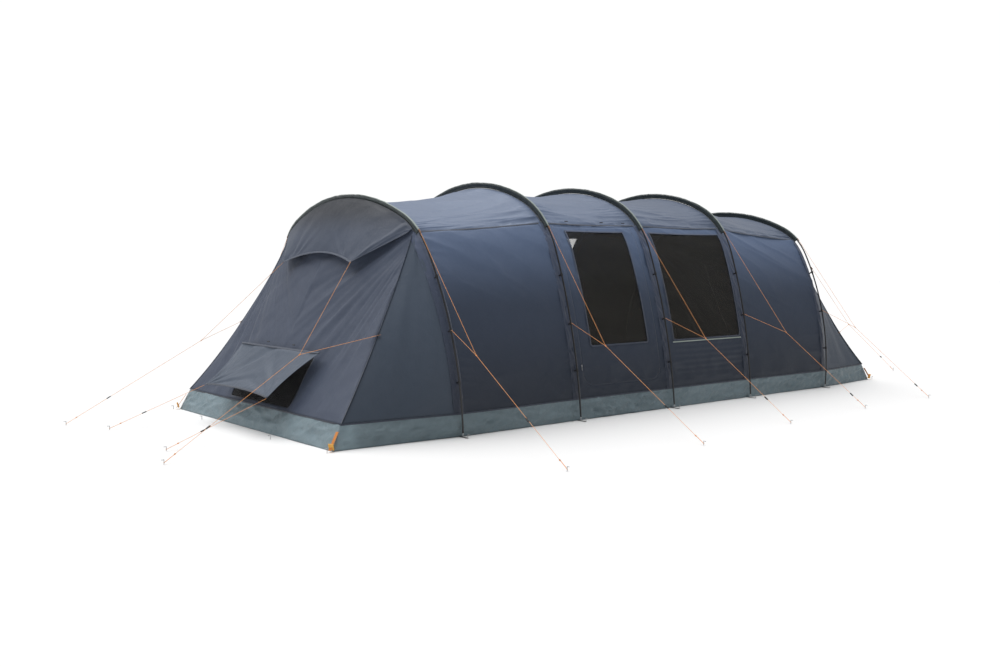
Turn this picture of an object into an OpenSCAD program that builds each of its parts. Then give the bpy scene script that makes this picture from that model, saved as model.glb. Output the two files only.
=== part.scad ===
// Family tunnel tent pitched on five arched poles.
// X runs along the tent from the front end to the rear end, Y across it, Z up.
// The origin is on the ground, midway between the outermost pegs.

/* [Bays] */
// Ground length of the sloping front end
front_len = 1090; // [850:10:1400]
// Length of bay 1, between poles 1 and 2
bay_1_len = 1280; // [1000:10:1600]
// Length of bay 2, the side door bay
bay_2_len = 1210; // [1000:10:1600]
// Length of bay 3, the window bay
bay_3_len = 1155; // [950:5:1600]
// Length of bay 4, between poles 4 and 5
bay_4_len = 1305; // [1000:5:1600]
// Ground length of the sloping rear end
rear_len = 1060; // [850:10:1400]
// Half width of the base line at the front and rear ends
base_half_w = 1390; // [1100:10:1700]

/* [Arches] */
// Half width of the middle arches at the ground
mid_half_w = 1500; // [1250:10:1800]
// Height of the middle arches
mid_h = 2100; // [1750:10:2520]
// Half width of the two end arches at the ground
end_half_w = 1508; // [1250:2:1800]
// Height of the two end arches
end_h = 1935; // [1600:5:2320]
// Shoulder radius of the middle arches
mid_shoulder_r = 840; // [700:10:1000]
// Shoulder radius of the end arches
end_shoulder_r = 655; // [540:5:790]
// Backward lean of pole 1, negative towards the front
lean_1 = -4; // [-6:0.5:0]
// Lean of pole 4 towards the rear
lean_4 = 3; // [0:0.5:5]
// Lean of pole 5 towards the rear
lean_5 = 2; // [0:0.5:5]

/* [Poles] */
// Outside diameter of a pole
pole_d = 14; // [12:0.5:19]
// Wall thickness of a pole
pole_wall = 1.8; // [1.2:0.1:2.4]
// Height of a pole's lower end above the ground
foot_h = 32; // [26:1:50]
// Radial clearance of the steel pin in a pole's end
pin_clear = 0.7; // [0.5:0.1:1.2]
// Clearance between the pole and its sleeve
sleeve_gap = 2; // [1:0.5:4]

/* [Fabric] */
// Distance from a pole's centre line down to the outside of the fly
fly_gap = 38; // [30:1:50]
// Thickness that stands for the fly fabric
fly_t = 4; // [3:0.5:6]
// Sag of the roof midway between two poles
roof_sag = 60; // [20:5:90]
// Sag of the fly at the seam between wall and roof
seam_sag = 15; // [5:1:30]
// Sag of the sloping end panels
end_sag = 35; // [10:5:60]
// Sag of the seams at the sides of the end panels
end_seam_sag = 60; // [10:5:80]
// Height of the mud wall band at the ground
mud_h = 180; // [120:5:260]

/* [Door and windows] */
// Side margin between a pole and the side door
door_margin = 107; // [80:1:160]
// Height of the door sill above the ground
door_sill = 280; // [220:5:400]
// Clearance round the door leaf, where the zip runs
door_gap = 5; // [3:0.5:8]
// Radius of the door's two lower corners
door_corner_r = 130; // [60:5:200]
// Side margin between the door's edge and its window
door_window_margin = 128; // [90:1:200]
// Height of the window sills above the ground
window_sill = 622; // [500:2:800]
// Side margin between a pole and a bay window
window_margin = 118; // [90:1:200]
// Clearance round a window pane
pane_gap = 0.5; // [0.3:0.1:1.5]
// Half width of the rear door
rear_door_half_w = 430; // [350:10:550]
// Height of the rear door's top edge
rear_door_top = 1320; // [1100:10:1400]

/* [Vent and hood] */
// Half width of the vent flap at its hinge
flap_half_w = 690; // [550:10:800]
// Height of the vent flap's hinge
flap_top = 650; // [550:10:750]
// Half width of the vent flap at its lower corners
flap_low_half_w = 570; // [480:10:720]
// Reach of the flap's lower edge in front of its hinge
flap_reach = 410; // [300:10:600]
// Drop of the flap's lower edge under its hinge
flap_drop = 340; // [200:10:380]
// Half width between the two tips of the hood
hood_tip_half_w = 570; // [450:10:650]
// Height of the hood's two tips
hood_tip_h = 1360; // [1200:10:1450]
// Rise of the hood's curved lower edge between its tips
hood_rise = 85; // [40:5:140]

/* [Guy lines] */
// Diameter of the guy line
guy_d = 3; // [2.5:0.5:4]
// Distance of a side guy's join from the tent's middle plane
join_y = 1840; // [1700:10:2000]
// Height of the side guy's join above the ground
join_h = 670; // [500:10:800]
// Reach of the front and rear pegs beyond the base line
end_peg_reach = 1110; // [900:10:1300]
// Length of a line slider
slider_len = 38; // [30:1:50]
// Diameter of a steel peg
peg_d = 5; // [4:0.5:8]

/* [Hidden] */

NEAR = -1;
FAR = 1;
pole_r = pole_d / 2;
pole_bore_r = pole_r - pole_wall;
spigot_clear = 0.8;   // radial clearance of the spigot inside two pole sections
spigot_len = 60;
sleeve_r = pole_r + sleeve_gap;
sleeve_cloth = 1.5;
guy_r = guy_d / 2;
peg_r = peg_d / 2;
seam_gap = 1.2;       // half gap at a seam between two fabric panels
layer_gap = 1;        // gap between pieces that lie against each other
peg_h = 34;           // height of a peg's head above the ground
peg_hook = 20;        // length of a peg's hook
web_w = 25;           // width of the webbing
web_t = 1.5;          // thickness of the webbing

// Ground stations: front base, poles 1 to 5, rear base, before centring
pole_x = [
  0,
  bay_1_len,
  bay_1_len + bay_2_len,
  bay_1_len + bay_2_len + bay_3_len,
  bay_1_len + bay_2_len + bay_3_len + bay_4_len
];
bay_len = [bay_1_len, bay_2_len, bay_3_len, bay_4_len];
mid_x = (pole_x[4] + rear_len - front_len) / 2;
front_x = -front_len - mid_x;
rear_x = pole_x[4] + rear_len - mid_x;
function station(j) = pole_x[j] - mid_x;
lean = [lean_1, 0, 0, lean_4, lean_5];

// An arch is [half width, height, shoulder radius, foot angle, wall end angle,
// shoulder end angle, seam angle, sleeve end angle], angles from the horizontal.
MID_ARCH = [mid_half_w, mid_h, mid_shoulder_r, 4.6, 20.75, 66, 41, 36];
END_ARCH = [end_half_w, end_h, end_shoulder_r, -3.4, 28, 65, 48, 45];
function arch_of(j) = (j == 0 || j == 4) ? END_ARCH : MID_ARCH;

// Wall and roof radii that make the three arcs of half an arch meet smoothly
function arch_det(a) =
  (cos(a[3]) - cos(a[4])) * (1 - sin(a[5])) - cos(a[5]) * (sin(a[4]) - sin(a[3]));
function arch_run(a) = a[0] - a[2] * (cos(a[4]) - cos(a[5]));
function arch_rise(a) = a[1] - a[2] * (sin(a[5]) - sin(a[4]));
function wall_r(a) =
  (arch_run(a) * (1 - sin(a[5])) - arch_rise(a) * cos(a[5])) / arch_det(a);
function roof_r(a) =
  (arch_rise(a) * (cos(a[3]) - cos(a[4])) - arch_run(a) * (sin(a[4]) - sin(a[3])))
  / arch_det(a);
function wall_c(a) = [a[0] - wall_r(a) * cos(a[3]), -wall_r(a) * sin(a[3])];
function ray(t) = [cos(t), sin(t)];
function shoulder_c(a) = wall_c(a) + (wall_r(a) - a[2]) * ray(a[4]);
function roof_c(a) = shoulder_c(a) + (a[2] - roof_r(a)) * ray(a[5]);

// Point at angle t of half an arch, d inside its centre line, as [y, z]
function arch_pt(a, t, d) =
  t <= a[4] ? wall_c(a) + (wall_r(a) - d) * ray(t)
  : t <= a[5] ? shoulder_c(a) + (a[2] - d) * ray(t)
  : roof_c(a) + (roof_r(a) - d) * ray(t);

// The same point in space on side s of arch j, with the arch's lean
function leaned(j, y, z) = [station(j) + z * sin(lean[j]), y, z * cos(lean[j])];
function skin(j, s, t, d) =
  let (p = arch_pt(arch_of(j), t, d))
  leaned(j, s * p[0], p[1]);
// Angle at which the wall arc of arch a reaches height z, d inside the centre line
function wall_t(a, z, d) = asin((z - wall_c(a)[1]) / (wall_r(a) - d));
function lerp(p, q, u) = p + (q - p) * u;
function flat(rows) = [for (row = rows) each row];

// Profile angles of a wall from the mud wall up to the seam, and of a half roof
wall_lower = 5;
wall_upper = 3;
wall_n = wall_lower + wall_upper;
roof_n = 6;
function wall_angles(j) =
  let (a = arch_of(j), t0 = wall_t(a, mud_h + layer_gap, fly_gap))
  [
    for (i = [0:wall_lower]) lerp(t0, a[4], i / wall_lower),
    for (i = [1:wall_upper]) lerp(a[4], a[6] - 0.05, i / wall_upper)
  ];
function half_roof_angles(j) =
  let (a = arch_of(j))
  [
    for (i = [0:2]) lerp(a[6] + 0.05, a[5], i / 3),
    for (i = [0:3]) lerp(a[5], 90, i / 3)
  ];
// Side and angle of each point of the roof's profile, near seam to far seam
function roof_stops(j) =
  let (h = half_roof_angles(j))
  [
    for (i = [0:roof_n]) [NEAR, h[i]],
    for (i = [1:roof_n]) [FAR, h[roof_n - i]]
  ];
function hollow(u) = 4 * u * (1 - u);
function wall_sag_at(c) = seam_sag * c / wall_n;
function roof_sag_at(c) = lerp(seam_sag, roof_sag, sin(90 * min(c, 2 * roof_n - c) / roof_n));

// Grid of points of the wall in bay k on side s, d inside the poles' centre lines
bay_steps = 6;
function bay_u(k, i) =
  lerp(seam_gap / bay_len[k], 1 - seam_gap / bay_len[k], i / bay_steps);
function wall_grid(k, s, d) =
  [for (i = [0:bay_steps]) [for (c = [0:wall_n])
    let (u = bay_u(k, i), e = d + hollow(u) * wall_sag_at(c))
    lerp(skin(k, s, wall_angles(k)[c], e), skin(k + 1, s, wall_angles(k + 1)[c], e), u)]];
function roof_grid(k, d) =
  [for (i = [0:bay_steps]) [for (c = [0:2 * roof_n])
    let (
      u = bay_u(k, i),
      e = d + hollow(u) * roof_sag_at(c),
      p = roof_stops(k)[c],
      q = roof_stops(k + 1)[c]
    )
    lerp(skin(k, p[0], p[1], e), skin(k + 1, q[0], q[1], e), u)]];

// Closed shell between an outer and an inner grid of points
function cell(n, i, j) = i * (n + 1) + j;
function quad(a, b, c, d) = [[a, b, c], [a, c, d]];
module shell(outer, inner) {
  m = len(outer) - 1;
  n = len(outer[0]) - 1;
  k = (m + 1) * (n + 1);
  polyhedron(
    points = concat(flat(outer), flat(inner)),
    faces = flat([
      for (i = [0:m - 1], j = [0:n - 1])
        quad(cell(n, i, j), cell(n, i, j + 1), cell(n, i + 1, j + 1), cell(n, i + 1, j)),
      for (i = [0:m - 1], j = [0:n - 1])
        quad(k + cell(n, i, j), k + cell(n, i + 1, j),
             k + cell(n, i + 1, j + 1), k + cell(n, i, j + 1)),
      for (i = [0:m - 1])
        quad(cell(n, i, 0), cell(n, i + 1, 0), k + cell(n, i + 1, 0), k + cell(n, i, 0)),
      for (i = [0:m - 1])
        quad(cell(n, i, n), k + cell(n, i, n), k + cell(n, i + 1, n), cell(n, i + 1, n)),
      for (j = [0:n - 1])
        quad(cell(n, 0, j), k + cell(n, 0, j), k + cell(n, 0, j + 1), cell(n, 0, j + 1)),
      for (j = [0:n - 1])
        quad(cell(n, m, j), cell(n, m, j + 1), k + cell(n, m, j + 1), k + cell(n, m, j))
    ])
  );
}
function shifted(grid, v) = [for (row = grid) [for (p = row) p + v]];

module wall(k, s, d0, d1) {
  if (s == NEAR)
    shell(wall_grid(k, NEAR, d0), wall_grid(k, NEAR, d1));
  else
    mirror([0, 1, 0]) shell(wall_grid(k, NEAR, d0), wall_grid(k, NEAR, d1));
}
module fly_wall(k, s) {
  wall(k, s, fly_gap, fly_gap + fly_t);
}

// Places its child with Z along the line from p towards q
module along(p, q) {
  v = q - p;
  translate(p)
    rotate([0, acos(v[2] / norm(v)), atan2(v[1], v[0])])
      children();
}
module rod(p, q, r) {
  along(p, q) cylinder(r = r, h = norm(q - p), $fn = 16);
}

// ---- Poles ----

// Frame of arch j with its plane's Y and Z as the child's X and Y
module arch_plane(j) {
  translate([station(j), 0, 0])
    rotate([0, lean[j], 0])
      rotate([90, 0, 90])
        children();
}
// Arc about c from angle t0 to t1, swept by the child, a profile beside its own axis
module sweep_arc(c, t0, t1) {
  translate([c[0], c[1], 0])
    rotate([0, 0, t0])
      rotate_extrude(angle = t1 - t0, $fn = 360)
        children();
}
module tube_profile(r) {
  translate([r, 0])
    difference() {
      circle(r = pole_r, $fn = 32);
      circle(r = pole_bore_r, $fn = 32);
    }
}
// Angle that half the gap between two pole sections takes at radius r
section_gap = 0.6;
function gap_t(r) = section_gap / 2 / r * 180 / PI;
module half_pole(a) {
  t0 = wall_t(a, foot_h, 0);
  sweep_arc(wall_c(a), t0, a[4] - gap_t(wall_r(a))) tube_profile(wall_r(a));
  sweep_arc(shoulder_c(a), a[4] + gap_t(a[2]), a[5] - gap_t(a[2])) tube_profile(a[2]);
  for (t = [a[4], a[5]]) {
    p = arch_pt(a, t, 0);
    translate([p[0], p[1], 0])
      rotate([90, 0, t])
        cylinder(r = pole_bore_r - spigot_clear, h = spigot_len, center = true, $fn = 24);
  }
}
module pole(j) {
  a = arch_of(j);
  color("black")
    arch_plane(j) {
      half_pole(a);
      mirror([1, 0, 0]) half_pole(a);
      sweep_arc(roof_c(a), a[5] + gap_t(roof_r(a)), 180 - a[5] - gap_t(roof_r(a)))
        tube_profile(roof_r(a));
    }
}
module pole_1() { pole(0); }
module pole_2() { pole(1); }
module pole_3() { pole(2); }
module pole_4() { pole(3); }
module pole_5() { pole(4); }

// Sleeve: a cloth tube round the pole with a web down to the fly
module sleeve_profile(r) {
  translate([r, 0])
    difference() {
      circle(r = sleeve_r + sleeve_cloth, $fn = 32);
      circle(r = sleeve_r, $fn = 32);
    }
  translate([r - fly_gap + layer_gap, -sleeve_cloth])
    square([fly_gap - layer_gap - sleeve_r - sleeve_cloth / 2, 2 * sleeve_cloth]);
}
module half_sleeve(a) {
  sweep_arc(shoulder_c(a), a[7], a[5] - gap_t(a[2])) sleeve_profile(a[2]);
}
module pole_sleeves() {
  color("darkslategray")
    for (j = [0:4]) {
      a = arch_of(j);
      arch_plane(j) {
        half_sleeve(a);
        mirror([1, 0, 0]) half_sleeve(a);
        sweep_arc(roof_c(a), a[5] + gap_t(roof_r(a)), 180 - a[5] - gap_t(roof_r(a)))
          sleeve_profile(roof_r(a));
      }
    }
}

// Clips that hold the bare lower pole to the wall
clip_heights = [430, 830, 1250];
clip_len = 26;
clip_wall = 3;
clip_gap = 0.4;
module at_arch(j, s, t, d) {
  p = arch_pt(arch_of(j), t, d);
  arch_plane(j)
    translate([s * p[0], p[1], 0])
      rotate([0, 0, s > 0 ? t : 180 - t])
        children();
}
// The child's X points away from the arch's centre and its Y runs along the pole
module clip() {
  rotate([90, 0, 0])
    difference() {
      cylinder(r = pole_r + clip_gap + clip_wall, h = clip_len, center = true, $fn = 32);
      cylinder(r = pole_r + clip_gap, h = clip_len + 2, center = true, $fn = 32);
    }
  translate([-fly_gap + layer_gap, -clip_len / 4, -clip_wall / 2])
    cube([fly_gap - layer_gap - pole_r - clip_gap - 1, clip_len / 2, clip_wall]);
}
module pole_clips() {
  color("black")
    for (j = [0:4], s = [NEAR, FAR], z = clip_heights)
      at_arch(j, s, wall_t(arch_of(j), z, 0), 0) clip();
}

// Ring and pin in each pole's lower end
pin_len = 50;
ring_wire_r = 2;
ring_r = 8;
module ring_pin() {
  rotate([-90, 0, 0]) cylinder(r = pole_bore_r - pin_clear, h = pin_len, $fn = 32);
  translate([0, -ring_r - ring_wire_r + 1, 0])
    rotate_extrude($fn = 48)
      translate([ring_r, 0])
        circle(r = ring_wire_r, $fn = 24);
}
module ring_pins() {
  drop = 6;
  color("silver")
    for (j = [0:4], s = [NEAR, FAR]) {
      a = arch_of(j);
      t = wall_t(a, foot_h - drop, 0);
      p = arch_pt(a, t, 0);
      arch_plane(j)
        translate([s * p[0], p[1], 0])
          rotate([0, 0, s * t])
            ring_pin();
    }
}

// Webbing from the tent's hem under each pole foot to its peg
foot_strap_len = 92;
foot_strap_gap = 3;   // from the mud wall's outside to the strap
function foot_strap_y(j) = arch_of(j)[0] - fly_gap + foot_strap_gap;
module foot_straps() {
  color("dimgray")
    for (j = [0:4], s = [NEAR, FAR]) {
      y = foot_strap_y(j);
      translate([station(j) - web_w / 2, s > 0 ? y : -y - foot_strap_len, 0])
        cube([web_w, foot_strap_len, web_t]);
    }
}

// Base corners, where the mud wall turns at the ends
end_slope = 0.495;    // run of the sloping ends per unit of height
corner_in = 0.19;     // inward run of the end corners per unit of height
function end_x(e, z) = e < 0 ? front_x + end_slope * z : rear_x - end_slope * z;
function corner_y(z) = base_half_w - corner_in * z;
function corner(e, s, z) = [end_x(e, z), s * corner_y(z), z];

corner_peg_out = [56, 18];
strap_top = 0.75;     // share of the mud wall's height at which a corner strap starts
module corner_strap(e, s) {
  top = corner(e, s, mud_h * strap_top) + [e * 14, s * 4, 0];
  low = corner(e, s, 0) + [e * 30, s * 8, 12];
  along(low, top)
    translate([-web_t / 2, -web_w / 2, 0])
      cube([web_t, web_w, norm(top - low)]);
}
module corner_straps() {
  color("orange")
    for (e = [-1, 1], s = [NEAR, FAR]) corner_strap(e, s);
}

// ---- Fly ----

module roof(k) {
  color("slategray") shell(roof_grid(k, fly_gap), roof_grid(k, fly_gap + fly_t));
}
module roof_1() { roof(0); }
module roof_2() { roof(1); }
module roof_3() { roof(2); }
module roof_4() { roof(3); }

// Prism across the tent's side s, cut through the walls, from an outline in X and Z
module side_prism(s) {
  depth = 1100;
  inner_y = 700;
  translate([0, s > 0 ? inner_y + depth : -inner_y, 0])
    rotate([90, 0, 0])
      linear_extrude(height = depth)
        children();
}
// Outline with rounded lower corners, from x0 to x1 and z0 to z1
module arched_sill(x0, x1, z0, z1, r) {
  corner_steps = 6;
  polygon([
    [x0, z1],
    for (i = [0:corner_steps]) [x0 + r, z0 + r] - r * ray(90 * i / corner_steps),
    for (i = [0:corner_steps])
      [x1 - r, z0 + r] + r * [sin(90 * i / corner_steps), -cos(90 * i / corner_steps)],
    [x1, z1]
  ]);
}
seam_z = shoulder_c(MID_ARCH)[1] + (mid_shoulder_r - fly_gap) * sin(MID_ARCH[6]);
door_top = seam_z - 22;
window_top = door_top - 42;
window_corner_r = 25;
function door_x0() = station(1) + door_margin;
function door_x1() = station(2) - door_margin;
module door_outline(g) {
  arched_sill(door_x0() - g, door_x1() + g, door_sill - g, door_top + g, door_corner_r + g);
}
module door_window_outline(g) {
  arched_sill(
    door_x0() + door_window_margin - g, door_x1() - door_window_margin + g,
    window_sill - g, window_top + g, window_corner_r + g
  );
}
module bay_window_outline(k, g) {
  arched_sill(
    station(k) + window_margin - g, station(k + 1) - window_margin / 2 + g,
    window_sill - g, window_top + g, window_corner_r + g
  );
}

module wall_near_1() { color("darkslategray") fly_wall(0, NEAR); }
module wall_near_2() {
  color("darkslategray")
    difference() {
      fly_wall(1, NEAR);
      side_prism(NEAR) door_outline(door_gap);
    }
}
module wall_near_3() {
  color("darkslategray")
    difference() {
      fly_wall(2, NEAR);
      side_prism(NEAR) bay_window_outline(2, pane_gap);
    }
}
module wall_near_4() { color("darkslategray") fly_wall(3, NEAR); }
module wall_far_1() { color("darkslategray") fly_wall(0, FAR); }
module far_window_wall(k) {
  color("darkslategray")
    difference() {
      fly_wall(k, FAR);
      side_prism(FAR) bay_window_outline(k, pane_gap);
    }
}
module wall_far_2() { far_window_wall(1); }
module wall_far_3() { far_window_wall(2); }
module wall_far_4() { color("darkslategray") fly_wall(3, FAR); }

// Panes are a thinner layer in the middle of the fly's thickness
module pane_wall(k, s) {
  wall(k, s, fly_gap + 1, fly_gap + fly_t - 1);
}
module pane(k, s) {
  color("dimgray", 0.6)
    intersection() {
      pane_wall(k, s);
      side_prism(s) bay_window_outline(k, 0);
    }
}
module window_near_3() { pane(2, NEAR); }
module window_far_2() { pane(1, FAR); }
module window_far_3() { pane(2, FAR); }

module side_door() {
  color("darkslategray")
    difference() {
      intersection() {
        fly_wall(1, NEAR);
        side_prism(NEAR) door_outline(0);
      }
      side_prism(NEAR) door_window_outline(pane_gap);
    }
}
module side_door_window() {
  color("dimgray", 0.6)
    intersection() {
      pane_wall(1, NEAR);
      side_prism(NEAR) door_window_outline(0);
    }
}
// Zip coil in the gap between the leaf and the wall
module side_door_zip() {
  zip_w = door_gap - 2;
  color("black")
    intersection() {
      pane_wall(1, NEAR);
      side_prism(NEAR)
        difference() {
          door_outline(1 + zip_w);
          door_outline(1);
          translate([door_x0() - 100, door_top])
            square([door_x1() - door_x0() + 200, 100]);
        }
    }
}

// Zip slider on the outside of the zip's near edge, on the wall side of the leaf
zip_slider_z = 460;
module zip_slider() {
  t = wall_t(MID_ARCH, zip_slider_z, fly_gap);
  color("silver")
    at_arch(1, NEAR, t, fly_gap - layer_gap)
      translate([0, 0, door_margin - door_gap - 9]) {
        translate([0, -8, -3]) cube([5, 16, 8]);
        translate([2, 7, -1.5]) cube([2, 34, 4]);
      }
}

// Toggles that hold the rolled door and flaps
toggle_r = 4;
toggle_len = 36;
toggle_stand = 8;     // how far a toggle's axis stands off the fly
door_toggle_at = [0.25, 0.62, 0.86];
flap_toggle_y = 225;
rear_toggle_y = 260;
module toggle_bar(p, ax) {
  translate(p)
    rotate(ax)
      cylinder(r = toggle_r, h = toggle_len, center = true, $fn = 24);
}
module toggles() {
  color("black") {
    for (u = door_toggle_at)
      toggle_bar(
        lerp(skin(1, NEAR, MID_ARCH[6] + 1.5, fly_gap - toggle_stand),
             skin(2, NEAR, MID_ARCH[6] + 1.5, fly_gap - toggle_stand), u),
        [0, 90, 0]
      );
    for (s = [NEAR, FAR]) {
      toggle_bar([end_x(-1, flap_top + 30) - 2 * toggle_stand, s * flap_toggle_y, flap_top + 30],
        [90, 0, 0]);
      toggle_bar([end_x(1, rear_door_top + 40) + 2 * toggle_stand, s * rear_toggle_y,
        rear_door_top + 40], [90, 0, 0]);
    }
  }
}

// ---- Sloping ends ----

end_top_gap = 3;      // an end panel's top edge stands this far out from its arch
end_side_gap = 14;    // and this far where it meets the seam of the side panels
end_seam_in = 45;     // inward sag of the seams at the sides of the end panels
end_cols = 12;
end_rows = 8;
// Bow along a seam, flatter in the middle than a parabola
function bow(u) = 1 - pow(abs(2 * u - 1), 2.5);
// Top edge point of an end panel, on arch j, v from -1 near to 1 far
function end_top(j, e, v, d) =
  skin(j, v < 0 ? NEAR : FAR, lerp(90, arch_of(j)[6], abs(v)), d)
  + [e * lerp(end_top_gap, end_side_gap, pow(v, 4)), 0, 0];
// Point of an end panel at share u from the mud wall to the arch
function end_point(j, e, v, u) =
  let (
    low = [end_x(e, mud_h + layer_gap), v * corner_y(mud_h), mud_h + layer_gap],
    dip = lerp(end_sag, end_seam_sag, pow(v, 4))
  )
  lerp(low, end_top(j, e, v, fly_gap), u) - bow(u) * [e * dip, v * end_seam_in, 0];
// Share u at which an end panel's side seam reaches height z
function seam_share(j, z) =
  (z - mud_h - layer_gap) / (end_top(j, 1, 1, fly_gap)[2] - mud_h - layer_gap);
// Front (e = -1) or rear (e = 1) panel, from the mud wall to the end arch
function end_panel_grid(j, e, d) =
  [for (i = [0:end_cols]) [for (r = [0:end_rows])
    end_point(j, e, -e * lerp(1, -1, i / end_cols), r / end_rows) - [e * d, 0, 0]]];
module end_panel(j, e) {
  shell(end_panel_grid(j, e, 0), end_panel_grid(j, e, fly_t));
}
// Prism along X through an end, from an outline in Y and Z
module end_prism(e) {
  depth = 1300;
  translate([e < 0 ? front_x - 100 : rear_x + 100 - depth, 0, 0])
    rotate([90, 0, 90])
      linear_extrude(height = depth)
        children();
}
vent_half_w = flap_half_w - 170;
vent_low = mud_h + 30;
vent_high = flap_top - 40;
module vent_outline(g) {
  arched_sill(-vent_half_w - g, vent_half_w + g, vent_low - g, vent_high + g, 20 + g);
}
module front_panel() {
  color("slategray")
    difference() {
      end_panel(0, -1);
      end_prism(-1) vent_outline(pane_gap);
    }
}
module vent_mesh() {
  color("black")
    intersection() {
      shell(end_panel_grid(0, -1, 1), end_panel_grid(0, -1, fly_t - 1));
      end_prism(-1) vent_outline(0);
    }
}
rear_door_sill = 240;
module rear_door_outline(g) {
  arched_sill(-rear_door_half_w - g, rear_door_half_w + g,
    rear_door_sill - g, rear_door_top + g, 110 + g);
}
module rear_panel() {
  color("slategray")
    difference() {
      end_panel(4, 1);
      end_prism(1) rear_door_outline(door_gap);
    }
}
module rear_door() {
  color("slategray")
    intersection() {
      end_panel(4, 1);
      end_prism(1) rear_door_outline(0);
    }
}

// Triangular gussets between the end panels and the end arches
gusset_cols = 3;
gusset_back = fly_t + 4;    // the gusset starts this far behind the end panel's face
gusset_post_gap = 2;        // and ends this far in front of the arch
function gusset_grid(j, e, d) =
  [for (i = [0:gusset_cols]) [for (r = [0:wall_n])
    let (
      w = e < 0 ? i / gusset_cols : 1 - i / gusset_cols,
      t = wall_angles(j)[r],
      post = skin(j, NEAR, t, fly_gap) + [e * gusset_post_gap, 0, 0],
      seam = end_point(j, e, NEAR, seam_share(j, post[2])) - [e * gusset_back, layer_gap, 0]
    )
    lerp(seam, post, w) + [0, d, 0]]];
module gussets(j, e) {
  for (m = [0, 1])
    mirror([0, m, 0])
      shell(gusset_grid(j, e, 0), gusset_grid(j, e, fly_t));
}
module front_gussets() { color("darkslategray") gussets(0, -1); }
module rear_gussets() { color("darkslategray") gussets(4, 1); }

// Hood over the top of the front panel
hood_stand = 15;      // how far the hood's tips stand in front of the panel's plane
hood_top_gap = 9;     // how far the hood's top edge stands in front of the panel's
hood_cols = 16;
hood_rows = 4;
hood_tip_v = 0.55;    // share of the hood's width between its tips
hood_edge_v = 0.96;
function hood_top_edge(v) = end_top(0, -1, v, fly_gap / 2) - [hood_top_gap, 0, 0];
function hood_tip(s) =
  [end_x(-1, hood_tip_h) - hood_stand, s * hood_tip_half_w, hood_tip_h];
function hood_low_edge(v) =
  abs(v) <= hood_tip_v
  ? [hood_tip(1)[0] + 0.5 * hood_rise * hollow((v / hood_tip_v + 1) / 2),
     hood_tip_half_w * v / hood_tip_v,
     hood_tip_h + hood_rise * hollow((v / hood_tip_v + 1) / 2)]
  : lerp(hood_tip(sign(v)), hood_top_edge(sign(v)), (abs(v) - hood_tip_v) / (1 - hood_tip_v));
function hood_grid(d) =
  [for (i = [0:hood_cols]) [for (r = [0:hood_rows])
    let (v = lerp(hood_edge_v, -hood_edge_v, i / hood_cols))
    lerp(hood_low_edge(v), hood_top_edge(v), r / hood_rows) + [d, 0, 0]]];
module hood() {
  color("slategray") shell(hood_grid(0), hood_grid(fly_t));
}

// Vent flap propped out over the low vent
flap_stand = 14;      // how far the flap's hinge stands in front of the panel's plane
flap_belly = 25;
flap_cols = 8;
flap_rows = 4;
flap_normal = [0.62, 0, -0.78];
flap_hinge_x = end_x(-1, flap_top) - flap_stand;
function flap_grid(d) =
  [for (i = [0:flap_cols]) [for (r = [0:flap_rows])
    let (
      v = lerp(1, -1, i / flap_cols),
      u = 1 - r / flap_rows,
      half = lerp(flap_half_w, flap_low_half_w, u)
    )
    [flap_hinge_x - flap_reach * u,
     v * half,
     flap_top - flap_drop * u - flap_belly * hollow(u) * (1 - v * v)]
    + d * flap_normal]];
module vent_flap() {
  color("slategray") shell(flap_grid(0), flap_grid(fly_t));
}

// ---- Ground ----

// Perimeter of the mud wall's outside at height z, counter-clockwise from above
function near_edge(z) = [
  corner(-1, NEAR, z),
  for (j = [0:4]) skin(j, NEAR, wall_t(arch_of(j), z, fly_gap), fly_gap),
  corner(1, NEAR, z)
];
function perimeter(z, inset) =
  let (n = near_edge(z), far = [for (i = [6:-1:0]) n[i]])
  [
    for (i = [0:6]) [inset_x(n[i][0], i, inset), n[i][1] + inset, z],
    for (i = [0:6]) [inset_x(far[i][0], 6 - i, inset), -far[i][1] - inset, z]
  ];
function inset_x(x, i, inset) = i == 0 ? x + inset : i == 6 ? x - inset : x;
module mudwall() {
  out_low = perimeter(0, 0);
  out_top = perimeter(mud_h, 0);
  in_low = perimeter(0, fly_t);
  in_top = perimeter(mud_h, fly_t);
  n = len(out_low);
  color("darkslategray")
    polyhedron(
      points = concat(out_low, out_top, in_low, in_top),
      faces = flat([
        for (i = [0:n - 1])
          let (k = (i + 1) % n)
          concat(
            quad(i, n + i, n + k, k),
            quad(2 * n + i, 2 * n + k, 3 * n + k, 3 * n + i),
            quad(n + i, 3 * n + i, 3 * n + k, n + k),
            quad(i, k, 2 * n + k, 2 * n + i)
          )
      ])
    );
}
groundsheet_t = 3;
module groundsheet() {
  edge = perimeter(groundsheet_t, fly_t + layer_gap);
  color("dimgray")
    linear_extrude(height = groundsheet_t)
      polygon([for (p = edge) [p[0], p[1]]]);
}

// ---- Guy lines ----

join_x_share = 0.5;   // how far along X from the pole to the peg the join lies
side_peg_x = [-260, -110, 40, 190, 40];
side_peg_y = [2960, 2920, 2740, 2650, 2660];
slider_at = [0.60, 0.65, 0.73, 0.84, 0.84];
peg_line_h = 12;
function side_peg(j, s) = [station(j) + side_peg_x[j], s * side_peg_y[j], 0];
function on_ground(p) = [p[0], p[1], peg_line_h];
function side_upper(j, s) = skin(j, s, arch_of(j)[7] - 2.2, -sleeve_r - guy_r - 3);
function side_lower(j, s) =
  skin(j, s, wall_t(arch_of(j), clip_heights[1], 0), -pole_r - clip_gap - clip_wall - guy_r - 1);
function side_join(j, s) =
  [station(j) + join_x_share * side_peg_x[j], s * join_y, join_h];
knot_r = guy_r * 2.2;
leg_gap = 9;          // where the legs of a guy stop short of its join
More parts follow.
